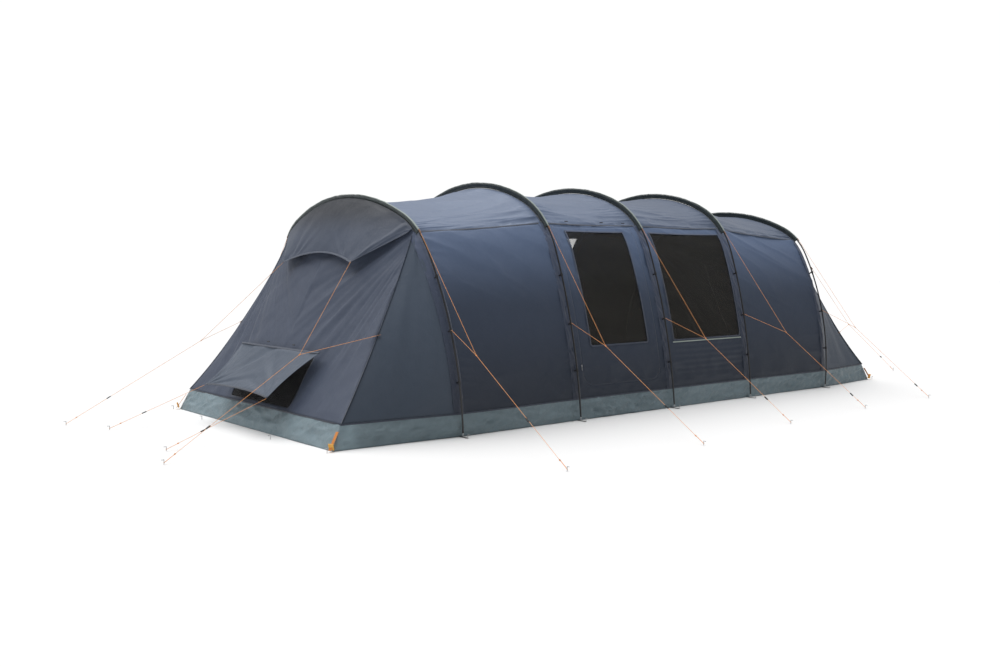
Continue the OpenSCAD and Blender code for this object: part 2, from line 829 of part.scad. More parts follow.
// Point on the way from p to q that stops short of q by the distance g
function short_of(p, q, g) = q - (q - p) / norm(q - p) * g;
// Line ends just short of the peg
function line_end(join, peg) = short_of(join, on_ground(peg), peg_r + guy_r + 0.5);
module guy(upper, lower, join, peg) {
  start = short_of(line_end(join, peg), join, knot_r);
  for (p = [upper, lower]) rod(p, short_of(p, join, leg_gap), guy_r);
  rod(start, line_end(join, peg), guy_r);
  translate(join) sphere(r = knot_r - 0.3, $fn = 24);
}
module side_guys() {
  color("orangered")
    for (j = [0:4], s = [NEAR, FAR])
      guy(side_upper(j, s), side_lower(j, s), side_join(j, s), side_peg(j, s));
}

front_peg_x = front_x - end_peg_reach;
rear_peg_x = rear_x + end_peg_reach;
hood_peg_y = 1070;
flap_peg_in = 200;    // the flap's pegs stand this far inside the hood's
flap_peg_y = 600;
rear_peg_y = 1080;
tab_out = 12;         // the end of a guy line stands this far off the fabric
hood_tab_h = 800;
rear_tab_h = 560;
rear_tab_t = 24;      // angle on pole 5 at which the rear guy starts
function hood_peg(s) = [front_peg_x, s * hood_peg_y, 0];
function flap_peg(s) = [front_peg_x + flap_peg_in, s * flap_peg_y, 0];
function rear_peg(s) = [rear_peg_x, s * rear_peg_y, 0];
// Point just off the side seam of an end panel at height z
function seam_tab(j, e, s, z) = end_point(j, e, s, seam_share(j, z)) + tab_out * [e, s, 0];
function hood_upper(s) = hood_tip(s) + tab_out / 2 * [-1, s, -1];
function hood_lower(s) = seam_tab(0, -1, s, hood_tab_h);
function hood_join(s) = [front_x + 10, s * 900, join_h - 5];
function flap_corner(s) =
  [flap_hinge_x - flap_reach - 6, s * (flap_low_half_w + 4), flap_top - flap_drop - 3];
function rear_upper(s) = skin(4, s, rear_tab_t, -pole_r - guy_r - 5);
function rear_lower(s) = seam_tab(4, 1, s, rear_tab_h);
function rear_join(s) = [rear_x - 200, s * 1250, join_h - 30];
module end_guys() {
  color("orangered")
    for (s = [NEAR, FAR]) {
      guy(hood_upper(s), hood_lower(s), hood_join(s), hood_peg(s));
      rod(flap_corner(s), line_end(flap_corner(s), flap_peg(s)), guy_r);
      guy(rear_upper(s), rear_lower(s), rear_join(s), rear_peg(s));
    }
}

// Slider threaded on the line from p to the peg q, at share u of the way
module slider(p, q, u) {
  hole_r = guy_r + 0.4;
  e = line_end(p, q);
  color("black")
    along(p, e)
      translate([0, 0, norm(e - p) * u - slider_len / 2])
        difference() {
          translate([-3, -10, 0]) cube([6, 14, slider_len]);
          translate([0, 0, -1]) cylinder(r = hole_r, h = slider_len + 2, $fn = 24);
          translate([0, -6, -1]) cylinder(r = hole_r, h = slider_len + 2, $fn = 24);
        }
}
module side_slider(j, s) {
  slider(side_join(j, s), side_peg(j, s), slider_at[j]);
}
module slider_n1() { side_slider(0, NEAR); }
module slider_n2() { side_slider(1, NEAR); }
module slider_n3() { side_slider(2, NEAR); }
module slider_n4() { side_slider(3, NEAR); }
module slider_n5() { side_slider(4, NEAR); }
module slider_f1() { side_slider(0, FAR); }
module slider_f2() { side_slider(1, FAR); }
module slider_f3() { side_slider(2, FAR); }
module slider_f4() { side_slider(3, FAR); }
module slider_f5() { side_slider(4, FAR); }
module slider_hood_n() { slider(hood_join(NEAR), hood_peg(NEAR), 0.7); }
module slider_hood_f() { slider(hood_join(FAR), hood_peg(FAR), 0.7); }
module slider_flap_n() { slider(flap_corner(NEAR), flap_peg(NEAR), 0.65); }
module slider_flap_f() { slider(flap_corner(FAR), flap_peg(FAR), 0.65); }
module slider_rear_n() { slider(rear_join(NEAR), rear_peg(NEAR), 0.7); }
module slider_rear_f() { slider(rear_join(FAR), rear_peg(FAR), 0.7); }

// ---- Pegs ----

// Hooked steel peg, the part above the ground, hook pointing along angle turn
module peg(p, turn) {
  translate([p[0], p[1], 0]) {
    cylinder(r = peg_r, h = peg_h - peg_r, $fn = 24);
    translate([0, 0, peg_h - peg_r]) {
      sphere(r = peg_r, $fn = 24);
      rotate([0, 90, turn]) cylinder(r = peg_r, h = peg_hook, $fn = 24);
    }
  }
}
base_peg_y = 640;
base_peg_out = 110;
module pegs() {
  color("lightgray")
    for (s = [NEAR, FAR]) {
      for (j = [0:4]) {
        peg(side_peg(j, s), s * 90);
        peg([station(j), s * (foot_strap_y(j) + foot_strap_len + peg_r + layer_gap), 0],
          s * 90);
      }
      peg(hood_peg(s), 180);
      peg(flap_peg(s), 180);
      peg(rear_peg(s), 0);
      for (e = [-1, 1]) {
        peg(corner(e, s, 0) + [e * corner_peg_out[0], s * corner_peg_out[1], 0],
          e < 0 ? 180 : 0);
        peg([end_x(e, 0) + e * base_peg_out, s * base_peg_y, 0], e < 0 ? 180 : 0);
      }
    }
}

pole_1();
pole_2();
pole_3();
pole_4();
pole_5();
pole_sleeves();
pole_clips();
ring_pins();
foot_straps();
corner_straps();
roof_1();
roof_2();
roof_3();
roof_4();
wall_near_1();
wall_near_2();
wall_near_3();
wall_near_4();
wall_far_1();
wall_far_2();
wall_far_3();
wall_far_4();
front_panel();
front_gussets();
hood();
vent_flap();
vent_mesh();
rear_panel();
rear_gussets();
rear_door();
mudwall();
groundsheet();
side_door();
side_door_window();
side_door_zip();
zip_slider();
toggles();
window_near_3();
window_far_2();
window_far_3();
side_guys();
end_guys();
pegs();
slider_n1();
slider_n2();
slider_n3();
slider_n4();
slider_n5();
slider_f1();
slider_f2();
slider_f3();
slider_f4();
slider_f5();
slider_hood_n();
slider_hood_f();
slider_flap_n();
slider_flap_f();
slider_rear_n();
slider_rear_f();
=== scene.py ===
"""Looks of the family tunnel tent: fabric, webbing, zips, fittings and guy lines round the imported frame."""
import math

import bmesh
import bpy
import numpy as np
from mathutils import Matrix, Vector


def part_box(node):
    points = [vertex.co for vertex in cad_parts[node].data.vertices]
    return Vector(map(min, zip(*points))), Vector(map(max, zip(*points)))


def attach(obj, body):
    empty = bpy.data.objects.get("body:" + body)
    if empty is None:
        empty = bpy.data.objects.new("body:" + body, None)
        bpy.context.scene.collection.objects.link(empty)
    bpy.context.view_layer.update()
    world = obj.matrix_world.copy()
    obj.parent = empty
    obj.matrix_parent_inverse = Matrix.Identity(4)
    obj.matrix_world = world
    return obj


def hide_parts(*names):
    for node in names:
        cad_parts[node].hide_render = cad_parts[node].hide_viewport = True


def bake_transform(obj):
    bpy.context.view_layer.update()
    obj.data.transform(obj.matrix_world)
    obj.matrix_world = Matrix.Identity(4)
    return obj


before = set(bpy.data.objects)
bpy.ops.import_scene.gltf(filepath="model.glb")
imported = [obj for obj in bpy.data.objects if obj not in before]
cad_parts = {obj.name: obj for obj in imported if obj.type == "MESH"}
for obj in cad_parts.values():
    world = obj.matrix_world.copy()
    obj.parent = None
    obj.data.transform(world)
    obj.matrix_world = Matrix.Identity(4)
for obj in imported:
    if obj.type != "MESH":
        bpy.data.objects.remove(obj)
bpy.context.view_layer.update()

scene = bpy.context.scene
bpy.ops.object.select_all(action="DESELECT")

NEAR, FAR = -1, 1
FRONT, REAR = -1, 1
SIDES = ((NEAR, "n"), (FAR, "f"))

# ---- Sizes shared with the part's source, in metres ----

BAY = (1.280, 1.210, 1.155, 1.305)
FRONT_RUN, REAR_RUN = 1.090, 1.060
LEAN = np.radians((-4, 0, 0, 3, 2))
POLE_R = 0.007
SLEEVE_R = 0.009
FLY_GAP = 0.038          # from a pole's centre line down to the outside of the fly
ROOF_SAG, SEAM_SAG = 0.060, 0.015
END_SAG, END_SEAM_SAG, END_SEAM_IN = 0.035, 0.060, 0.045
END_TOP_GAP, END_SIDE_GAP = 0.003, 0.014
MUD_H = 0.180
BASE_HALF_W = 1.390
END_SLOPE, CORNER_IN = 0.495, 0.19
CLIP_HEIGHTS = (0.430, 0.830, 1.250)
CLOTH_T = 0.0012
GUY_R = 0.0015
PEG_R = 0.0025

pole_2_x = sum(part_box("pole_2"), Vector()).x / 2
STATION = [pole_2_x - BAY[0], pole_2_x, pole_2_x + BAY[1],
           pole_2_x + BAY[1] + BAY[2], pole_2_x + BAY[1] + BAY[2] + BAY[3]]
FRONT_X = STATION[0] - FRONT_RUN
REAR_X = STATION[4] + REAR_RUN


# ---- Arches ----

class Arch:
    """Half an arch of three arcs that meet smoothly: wall, shoulder and roof."""

    def __init__(self, half_w, height, shoulder_r, foot, wall_end, shoulder_end, seam, sleeve_end):
        angles = np.radians((foot, wall_end, shoulder_end, seam, sleeve_end))
        foot, self.wall_end, self.shoulder_end, self.seam, self.sleeve_end = angles
        self.half_w, self.height, self.shoulder_r = half_w, height, shoulder_r
        cos_f, sin_f = math.cos(foot), math.sin(foot)
        cos_w, sin_w = math.cos(self.wall_end), math.sin(self.wall_end)
        cos_s, sin_s = math.cos(self.shoulder_end), math.sin(self.shoulder_end)
        run = half_w - shoulder_r * (cos_w - cos_s)
        rise = height - shoulder_r * (sin_s - sin_w)
        det = (cos_f - cos_w) * (1 - sin_s) - cos_s * (sin_w - sin_f)
        self.wall_r = (run * (1 - sin_s) - rise * cos_s) / det
        self.roof_r = (rise * (cos_f - cos_w) - run * (sin_w - sin_f)) / det
        self.wall_c = np.array((half_w - self.wall_r * cos_f, -self.wall_r * sin_f))
        self.shoulder_c = self.wall_c + (self.wall_r - shoulder_r) * np.array((cos_w, sin_w))
        self.roof_c = self.shoulder_c + (shoulder_r - self.roof_r) * np.array((cos_s, sin_s))

    def point(self, t, inward):
        """Distance out and height at angle t, inward from the pole's centre line."""
        t, inward = np.broadcast_arrays(np.asarray(t, float), inward)
        wall, shoulder = t <= self.wall_end, t <= self.shoulder_end
        r = np.where(wall, self.wall_r, np.where(shoulder, self.shoulder_r, self.roof_r)) - inward
        c = [np.where(wall, self.wall_c[i], np.where(shoulder, self.shoulder_c[i], self.roof_c[i]))
             for i in (0, 1)]
        return c[0] + r * np.cos(t), c[1] + r * np.sin(t)

    def angle_at(self, z, inward=FLY_GAP):
        """Angle at which the wall or the shoulder reaches height z."""
        low = np.arcsin(np.clip((z - self.wall_c[1]) / (self.wall_r - inward), -1, 1))
        high = np.arcsin(np.clip((z - self.shoulder_c[1]) / (self.shoulder_r - inward), -1, 1))
        return np.where(low <= self.wall_end, low, high)


MID = Arch(1.500, 2.100, 0.840, 4.6, 20.75, 66, 41, 36)
END = Arch(1.508, 1.935, 0.655, -3.4, 28, 65, 48, 45)
ARCHES = (END, MID, MID, MID, END)


def leaned(j, y, z):
    """Point of arch j's own plane in space."""
    y, z = np.broadcast_arrays(y, z)
    return np.stack((STATION[j] + z * math.sin(LEAN[j]), y, z * math.cos(LEAN[j])), -1)


def skin(j, side, t, inward):
    """Point on one side of arch j, inward from the pole's centre line."""
    y, z = ARCHES[j].point(t, inward)
    return leaned(j, side * y, z)


def mix(a, b, share):
    return a + (b - a) * share


def hollow(u):
    """A bowl from 0 at both ends to 1 in the middle."""
    return 4 * u * (1 - u)


def smooth(x, low, high):
    t = np.clip((x - low) / (high - low), 0, 1)
    return t * t * (3 - 2 * t)


def noise(x, y, seed):
    """Soft seeded noise from -1 to 1 on unit cells."""
    table = np.random.RandomState(seed).uniform(-1, 1, (128, 128))
    x, y = np.broadcast_arrays(np.asarray(x, float), y)
    i, j = np.floor(x).astype(int), np.floor(y).astype(int)
    u, v = x - i, y - j
    u, v = u * u * (3 - 2 * u), v * v * (3 - 2 * v)
    i, j, i1, j1 = i % 128, j % 128, (i + 1) % 128, (j + 1) % 128
    return mix(mix(table[i, j], table[i1, j], u), mix(table[i, j1], table[i1, j1], u), v)


def creases(x, y, seed):
    """Seeded ridges with sharp crests, from -1 to 1."""
    return 1 - 2 * np.abs(noise(x, y, seed)) ** 0.7


# ---- Camera, light and floor ----

def make_camera():
    data = bpy.data.cameras.new("camera")
    data.lens, data.sensor_width = 36.59, 36.0
    data.clip_end = 200
    camera = bpy.data.objects.new("camera", data)
    camera.location = (-7.2212, -7.7263, 1.3591)
    camera.rotation_euler = (math.pi / 2 - 0.0702, 0, -0.69)
    scene.collection.objects.link(camera)
    scene.camera = camera


def make_studio():
    world = bpy.data.worlds.new("studio")
    world.use_nodes = True
    tree = world.node_tree
    back = tree.nodes["Background"]
    back.inputs["Color"].default_value = (1, 1, 1, 1)
    lit = tree.nodes.new("ShaderNodeLightPath")
    strength = tree.nodes.new("ShaderNodeMix")
    strength.inputs[2].default_value, strength.inputs[3].default_value = 0.30, 1.02
    tree.links.new(lit.outputs["Is Camera Ray"], strength.inputs[0])
    tree.links.new(strength.outputs[0], back.inputs["Strength"])
    scene.world = world
    data = bpy.data.lights.new("overhead", "SUN")
    data.energy, data.angle = 3.1, math.radians(70)
    sun = bpy.data.objects.new("overhead", data)
    sun.rotation_euler = (math.radians(-16), math.radians(-4), 0)
    scene.collection.objects.link(sun)
    bpy.ops.mesh.primitive_plane_add(size=160, location=(0, 0, -0.002))
    floor = bpy.context.object
    floor.name = "studio_floor"
    material = bpy.data.materials.new("studio_floor")
    material.use_nodes = True
    shader = material.node_tree.nodes["Principled BSDF"]
    shader.inputs["Base Color"].default_value = (0.86, 0.86, 0.86, 1)
    shader.inputs["Roughness"].default_value = 0.9
    floor.data.materials.append(material)
    scene.view_settings.view_transform = "Standard"


make_camera()
make_studio()


# ---- Shader helpers ----

class Value:
    """A number that varies over the surface; an expression on values adds its Math nodes."""

    def __init__(self, finish, socket):
        self.finish, self.socket = finish, socket

    def math(self, operation, a, b):
        return self.finish.value("ShaderNodeMath", {"operation": operation}, {0: a, 1: b})

    def __add__(self, other):
        return self.math("ADD", self, other)

    def __sub__(self, other):
        return self.math("SUBTRACT", self, other)

    def __rsub__(self, other):
        return self.math("SUBTRACT", other, self)

    def __mul__(self, other):
        return self.math("MULTIPLY", self, other)

    def __pow__(self, other):
        return self.math("POWER", self, other)

    __radd__, __rmul__ = __add__, __mul__


class Finish:
    """A material with one Principled shader, built node by node."""

    def __init__(self, name, **constants):
        self.material = bpy.data.materials.new(name)
        self.material.use_nodes = True
        self.tree = self.material.node_tree
        self.shader = self.tree.nodes["Principled BSDF"]
        for socket, value in constants.items():
            self.shader.inputs[socket.replace("_", " ")].default_value = value

    def node(self, kind, settings=None, inputs=None):
        made = self.tree.nodes.new(kind)
        for key, value in (settings or {}).items():
            if key == "stops":
                ramp = made.color_ramp
                for i, (place, colour) in enumerate(value):
                    stop = ramp.elements[i] if i < 2 else ramp.elements.new(place)
                    stop.position, stop.color = place, (*colour, 1)
            else:
                setattr(made, key, value)
        for key, value in (inputs or {}).items():
            self.feed(made.inputs[key], value)
        return made

    def feed(self, socket, value):
        if isinstance(value, Value):
            value = value.socket
        if isinstance(value, bpy.types.NodeSocket):
            self.tree.links.new(value, socket)
        else:
            socket.default_value = value

    def value(self, kind, settings=None, inputs=None, output=0):
        return Value(self, self.node(kind, settings, inputs).outputs[output])

    def place(self, source="Object", scale=(1, 1, 1), turn=(0, 0, 0)):
        coordinates = self.node("ShaderNodeTexCoord").outputs[source]
        return self.node("ShaderNodeMapping", None,
                         {"Vector": coordinates, "Scale": scale, "Rotation": turn}).outputs[0]

    def part_of(self, vector, axis):
        return self.value("ShaderNodeSeparateXYZ", None, {0: vector}, "XYZ".index(axis))

    def cloud(self, vector, scale, detail=2.0):
        return self.value("ShaderNodeTexNoise", None,
                          {"Vector": vector, "Scale": scale, "Detail": detail})

    def stripes(self, vector, scale, direction="X", warp=0.0):
        return self.value("ShaderNodeTexWave", {"bands_direction": direction},
                          {"Vector": vector, "Scale": scale, "Distortion": warp}, output=1)

    def blend(self, share, low, high):
        return self.node("ShaderNodeMix", {"data_type": "RGBA"},
                         {0: share, 6: (*low, 1), 7: (*high, 1)}).outputs[2]

    def blend_links(self, share, low, high):
        made = self.node("ShaderNodeMix", {"data_type": "RGBA"}, {0: share})
        self.feed(made.inputs[6], low)
        self.feed(made.inputs[7], high)
        return made.outputs[2]

    def bump(self, height, strength, distance):
        made = self.node("ShaderNodeBump", None,
                         {"Strength": strength, "Distance": distance, "Height": height})
        self.feed(self.shader.inputs["Normal"], made.outputs[0])


def tent_cloth(name, colour, light, roughness=0.52, sheen=0.06, crinkle=0.5, shade=(), crumple=0.0,
               stitched=0.0, relief_strength=0.5, relief_depth=0.007):
    """Coated polyester: plain weave, soft crinkles, unevenly dyed. shade gives (axis, from, to, scale at
    from, scale at to), the painted light and shade that scales the colour along an axis of the object;
    stitched is the half width of a tape with a row of stitches near each edge."""
    finish = Finish(name, Sheen_Weight=sheen, Sheen_Roughness=0.45, Specular_IOR_Level=0.35)
    flat = finish.place("UV")
    solid = finish.place("Object")
    broad = finish.cloud(solid, 1.7, 3.0)
    fine = finish.cloud(solid, 14.0, 4.0)
    dye_with_painted_light = finish.blend(broad * 0.6 + fine * 0.4, colour, light)
    painted_light_scale = None
    # painted light and shade: the colour is scaled up or down by position along an axis of the object
    for axis, low, high, start, end in shade:
        step = finish.value("ShaderNodeMapRange", {"interpolation_type": "SMOOTHSTEP"},
                            {0: finish.part_of(solid, axis), 1: low, 2: high, 3: start, 4: end})
        painted_light_scale = step if painted_light_scale is None else painted_light_scale * step
    if painted_light_scale is not None:
        dye_with_painted_light = finish.node("ShaderNodeVectorMath", {"operation": "SCALE"}, {0: dye_with_painted_light, 3: painted_light_scale}).outputs[0]
    weave = finish.stripes(flat, 420.0) * finish.stripes(flat, 420.0, "Y")
    slack = finish.value("ShaderNodeTexNoise", None,
                         {"Vector": solid, "Scale": 4.0, "Detail": 4.0, "Distortion": 1.2})
    relief = slack * 1.4 + fine * crinkle + finish.cloud(solid, 60.0, 3.0) * 0.25 + weave * 0.06
    if crumple:
        bent = finish.node("ShaderNodeTexVoronoi", {"feature": "SMOOTH_F1"},
                           {"Vector": finish.place("Object", (1, 1, 1.6)), "Scale": 13.0}).outputs[0]
        relief = relief + finish.value("ShaderNodeMath", {"operation": "MULTIPLY"}, {0: bent, 1: crumple})
    if stitched:
        across = finish.part_of(flat, "X")
        near_edge = finish.value("ShaderNodeMath", {"operation": "COMPARE"},
                                 {0: finish.value("ShaderNodeMath", {"operation": "ABSOLUTE"},
                                                  {0: across - stitched}), 1: stitched * 0.78, 2: 0.0009})
        dash = finish.value("ShaderNodeMath", {"operation": "GREATER_THAN"},
                            {0: finish.stripes(flat, 52.0, "Y"), 1: 0.35})
        seam = near_edge * dash
        dye_with_painted_light = finish.blend_links(seam * 0.7, dye_with_painted_light, (*light, 1))
        relief = relief + seam * 0.9
    finish.feed(finish.shader.inputs["Base Color"], dye_with_painted_light)
    finish.feed(finish.shader.inputs["Roughness"], fine * 0.14 + weave * 0.03 + (roughness - 0.08))
    finish.bump(relief, relief_strength, relief_depth)
    return finish.material


def webbing(name, colour, light):
    """Woven tape with a ribbed face and paler worn threads."""
    finish = Finish(name, Sheen_Weight=0.3)
    flat = finish.place("UV")
    ribs = finish.stripes(flat, 300.0, "Y") * 0.6 + finish.stripes(flat, 160.0, "X") * 0.4
    worn = finish.cloud(finish.place("Object"), 60.0, 3.0)
    finish.feed(finish.shader.inputs["Base Color"], finish.blend(ribs * 0.5 + worn * 0.5, colour, light))
    finish.feed(finish.shader.inputs["Roughness"], worn * 0.2 + 0.6)
    finish.bump(ribs, 0.6, 0.0006)
    return finish.material


def moulded(name, colour, light, roughness=0.42):
    """Moulded plastic with a fine spark texture and scuffed high spots."""
    finish = Finish(name)
    grain = finish.cloud(finish.place("Object"), 900.0, 2.0)
    scuffs = finish.cloud(finish.place("Object", (1, 1, 4)), 90.0, 4.0)
    finish.feed(finish.shader.inputs["Base Color"], finish.blend(scuffs, colour, light))
    finish.feed(finish.shader.inputs["Roughness"], scuffs * 0.2 + (roughness - 0.1))
    finish.bump(grain, 0.15, 0.0003)
    return finish.material


def plated(name, colour, light, roughness=0.3):
    """Plated steel, a little dulled and streaked along its length."""
    finish = Finish(name, Metallic=1.0)
    streaks = finish.cloud(finish.place("Object", (1, 1, 0.2)), 220.0, 3.0)
    finish.feed(finish.shader.inputs["Base Color"], finish.blend(streaks, colour, light))
    finish.feed(finish.shader.inputs["Roughness"], streaks * 0.25 + (roughness - 0.1))
    finish.bump(streaks, 0.1, 0.0003)
    return finish.material


def braided(name, colour, fleck):
    """Braided cord with pale reflective flecks in its sheath."""
    finish = Finish(name, Sheen_Weight=0.2)
    solid = finish.place("Object")
    strands = finish.stripes(solid, 260.0, "DIAGONAL", 1.0)
    flecks = finish.value("ShaderNodeValToRGB", {"stops": [(0.62, (0, 0, 0)), (0.7, (1, 1, 1))]},
                          {"Fac": finish.cloud(solid, 130.0, 1.0)})
    finish.feed(finish.shader.inputs["Base Color"], finish.blend(flecks * 0.8, colour, fleck))
    finish.feed(finish.shader.inputs["Roughness"], strands * 0.2 + 0.5)
    finish.bump(strands, 0.5, 0.0005)
    return finish.material


def pole_tube():
    """Dark wrapped tube with a satin coat and faint rings."""
    finish = Finish("pole_tube", Coat_Weight=0.25, Coat_Roughness=0.25)
    wrap = finish.stripes(finish.place("Object"), 90.0, "Z", 2.0)
    scuffs = finish.cloud(finish.place("Object"), 40.0, 4.0)
    finish.feed(finish.shader.inputs["Base Color"],
                finish.blend(scuffs, (0.006, 0.006, 0.007), (0.022, 0.022, 0.024)))
    finish.feed(finish.shader.inputs["Roughness"], scuffs * 0.2 + 0.35)
    finish.bump(wrap, 0.08, 0.0004)
    return finish.material


def window_film():
    """Smoked window film: see-through, glossy and slightly rippled, its brown paler along the ripples as a
    painted reflection.
    """
    finish = Finish("window_film", Roughness=0.1, Alpha=0.20, Specular_IOR_Level=0.5)
    ripple = finish.cloud(finish.place("Object", (0.6, 1, 3.2)), 3.0, 2.0)
    # painted reflection: paler brown along the horizontal ripples
    finish.feed(finish.shader.inputs["Base Color"],
                finish.blend(ripple, (0.045, 0.043, 0.040), (0.095, 0.090, 0.080)))
    finish.bump(ripple, 0.12, 0.01)
    return finish.material


def insect_mesh():
    """Fine black mesh with open holes."""
    finish = Finish("insect_mesh", Roughness=0.8)
    flat = finish.place("UV")
    threads = finish.stripes(flat, 320.0) * finish.stripes(flat, 320.0, "Y")
    finish.feed(finish.shader.inputs["Base Color"],
                finish.blend(threads, (0.006, 0.006, 0.007), (0.02, 0.02, 0.022)))
    finish.feed(finish.shader.inputs["Alpha"], threads * 0.15 + 0.82)
    finish.bump(threads, 0.5, 0.0005)
    return finish.material


# The fly is one fabric; the copies below for its surfaces differ in colour as painted light and shade. Down
# the wall: painted shade darkens the wall towards the bottom and painted light brightens it towards the top.
PAINTED_LIGHT_DOWN_THE_WALL = (("Z", 0.15, 1.15, 0.50, 1.08), ("Z", 0.95, 1.70, 1.0, 3.2))
# Along the tent: painted light, brighter at the front and darker towards the rear.
PAINTED_LIGHT_TO_THE_REAR = (("X", -1.6, 1.6, 1.30, 0.80),)
# Wall copy of the fly fabric: darker than its own colour, as painted shade.
WALL_CLOTH_PAINTED_LIGHT = tent_cloth("wall_cloth_painted_light", (0.027, 0.040, 0.068), (0.040, 0.055, 0.090), shade=PAINTED_LIGHT_DOWN_THE_WALL)
# Border copy: lighter than the wall copy, a painted reflection along the pole seams, with painted shade and
# light down the wall.
BORDER_CLOTH_PAINTED_LIGHT = tent_cloth("border_cloth_painted_light", (0.036, 0.048, 0.079), (0.062, 0.078, 0.122), 0.46, 0.2, 0.5,
                          (("Z", 0.15, 1.15, 0.55, 1.0), ("Z", 0.95, 1.70, 1.0, 1.8)), 0.9, 0.045)
# Roof copy of the fly fabric: much lighter than the wall copy, as painted light.
ROOF_CLOTH_PAINTED_LIGHT = tent_cloth("roof_cloth_painted_light", (0.094, 0.128, 0.205), (0.124, 0.164, 0.252), 0.46, 0.22,
                        shade=PAINTED_LIGHT_TO_THE_REAR)
END_CLOTH = tent_cloth("end_cloth", (0.050, 0.065, 0.101), (0.070, 0.088, 0.133), 0.5, 0.08)
# Hood copy: painted shade darkens it towards its top edge.
HOOD_CLOTH_PAINTED_SHADE = tent_cloth("hood_cloth", (0.053, 0.068, 0.102), (0.074, 0.092, 0.134), 0.5, 0.08,
                        shade=(("Z", 1.56, 1.84, 1.0, 0.28),))
# Flap copy: lighter than the end cloth, as painted light.
FLAP_CLOTH_PAINTED_LIGHT = tent_cloth("flap_cloth", (0.058, 0.078, 0.112), (0.082, 0.106, 0.148), 0.5, 0.1)
# Gusset copy: painted shade darkens it towards the bottom.
GUSSET_CLOTH_PAINTED_SHADE = tent_cloth("gusset_cloth", (0.048, 0.066, 0.096), (0.066, 0.086, 0.120), 0.5, 0.08,
                          shade=(("Z", 0.15, 1.2, 0.80, 1.15),))
SLEEVE_CLOTH = tent_cloth("sleeve_cloth", (0.018, 0.028, 0.031), (0.046, 0.064, 0.066), 0.5, 0.25,
                          crumple=0.8)
TRIM_CLOTH = tent_cloth("trim_cloth", (0.24, 0.29, 0.27), (0.36, 0.42, 0.39), 0.5, 0.3)
# Mud wall: painted light brightens its front face.
MUD_CLOTH_PAINTED_LIGHT = tent_cloth("mud_cloth", (0.125, 0.174, 0.202), (0.205, 0.270, 0.300), 0.38, 0.1, 0.8,
                       (("X", -3.40, -3.30, 1.35, 1.0),), 1.8, relief_strength=0.9, relief_depth=0.014)
FLOOR_CLOTH = tent_cloth("groundsheet_cloth", (0.040, 0.043, 0.047), (0.065, 0.068, 0.073), 0.4)
BLACK_WEB = webbing("black_web", (0.008, 0.008, 0.009), (0.03, 0.03, 0.033))
ORANGE_WEB = webbing("orange_web", (0.55, 0.17, 0.02), (0.85, 0.36, 0.06))
BROWN_WEB = webbing("guy_tab_web", (0.16, 0.07, 0.035), (0.34, 0.17, 0.09))
BLACK_PLASTIC = moulded("black_plastic", (0.008, 0.008, 0.009), (0.03, 0.03, 0.032))
YELLOW_PLASTIC = moulded("yellow_plastic", (0.75, 0.36, 0.03), (0.9, 0.5, 0.1))
PLATED_STEEL = plated("plated_steel", (0.45, 0.45, 0.46), (0.75, 0.75, 0.76))
PEG_STEEL = plated("peg_steel", (0.30, 0.30, 0.31), (0.6, 0.6, 0.6), 0.4)
GUY_CORD = braided("guy_cord", (0.88, 0.36, 0.10), (0.90, 0.70, 0.50))
POLE_TUBE = pole_tube()
WINDOW_FILM = window_film()
INSECT_MESH = insect_mesh()


# ---- Mesh helpers ----

def apply_modifiers(piece):
    bpy.context.view_layer.objects.active = piece
    for modifier in list(piece.modifiers):
        bpy.ops.object.modifier_apply(modifier=modifier.name)


def grid_mesh(name, points, uv=None, drop=None, outward=None, thickness=CLOTH_T):
    """A sheet from a grid of points, thickened inwards. outward is a point that the sheet faces away from."""
    rows, cols = points.shape[:2]
    index = np.arange(rows * cols).reshape(rows, cols)
    faces = np.stack((index[:-1, :-1], index[:-1, 1:], index[1:, 1:], index[1:, :-1]), -1)
    if drop is not None:
        faces = faces[~drop]
    faces = faces.reshape(-1, 4)
    flat = points.reshape(-1, 3)
    if outward is not None:
        mid = flat[faces].mean(1)
        normal = np.cross(flat[faces[:, 2]] - flat[faces[:, 0]], flat[faces[:, 3]] - flat[faces[:, 1]])
        if ((mid - np.asarray(outward(mid))) * normal).sum() < 0:
            faces = faces[:, ::-1]
    used = np.unique(faces)
    renumber = np.zeros(len(flat), int)
    renumber[used] = np.arange(len(used))
    mesh = bpy.data.meshes.new(name)
    mesh.from_pydata(flat[used].tolist(), [], renumber[faces].tolist())
    if uv is None:
        uv = sheet_uv(points)
    layer = mesh.uv_layers.new(name="UVMap")
    layer.data.foreach_set("uv", uv.reshape(-1, 2)[faces.ravel()].astype(np.float32).ravel())
    mesh.shade_smooth()
    piece = bpy.data.objects.new(name, mesh)
    scene.collection.objects.link(piece)
    if thickness:
        wall = piece.modifiers.new("thickness", "SOLIDIFY")
        wall.thickness, wall.offset = thickness, -1
        apply_modifiers(piece)
    return piece


def sheet_uv(points):
    """Distances in metres along the middle row and the middle column."""
    rows, cols = points.shape[:2]
    down = np.linalg.norm(np.diff(points[:, cols // 2], axis=0), axis=1)
    over = np.linalg.norm(np.diff(points[rows // 2], axis=0), axis=1)
    v = np.concatenate(([0], np.cumsum(down)))
    u = np.concatenate(([0], np.cumsum(over)))
    return np.stack(np.meshgrid(u, v), -1)


def normals(points):
    """Unit normals of a grid of points."""
    n = np.cross(np.gradient(points, axis=0), np.gradient(points, axis=1))
    return n / np.maximum(np.linalg.norm(n, axis=-1, keepdims=True), 1e-9)


def pushed(points, height, away_from):
    """The grid with each point moved out along its normal by height."""
    n = normals(points)
    facing = ((points - np.asarray(away_from(points))) * n).sum(-1).mean()
    return points + n * (height * (1 if facing > 0 else -1))[..., None]


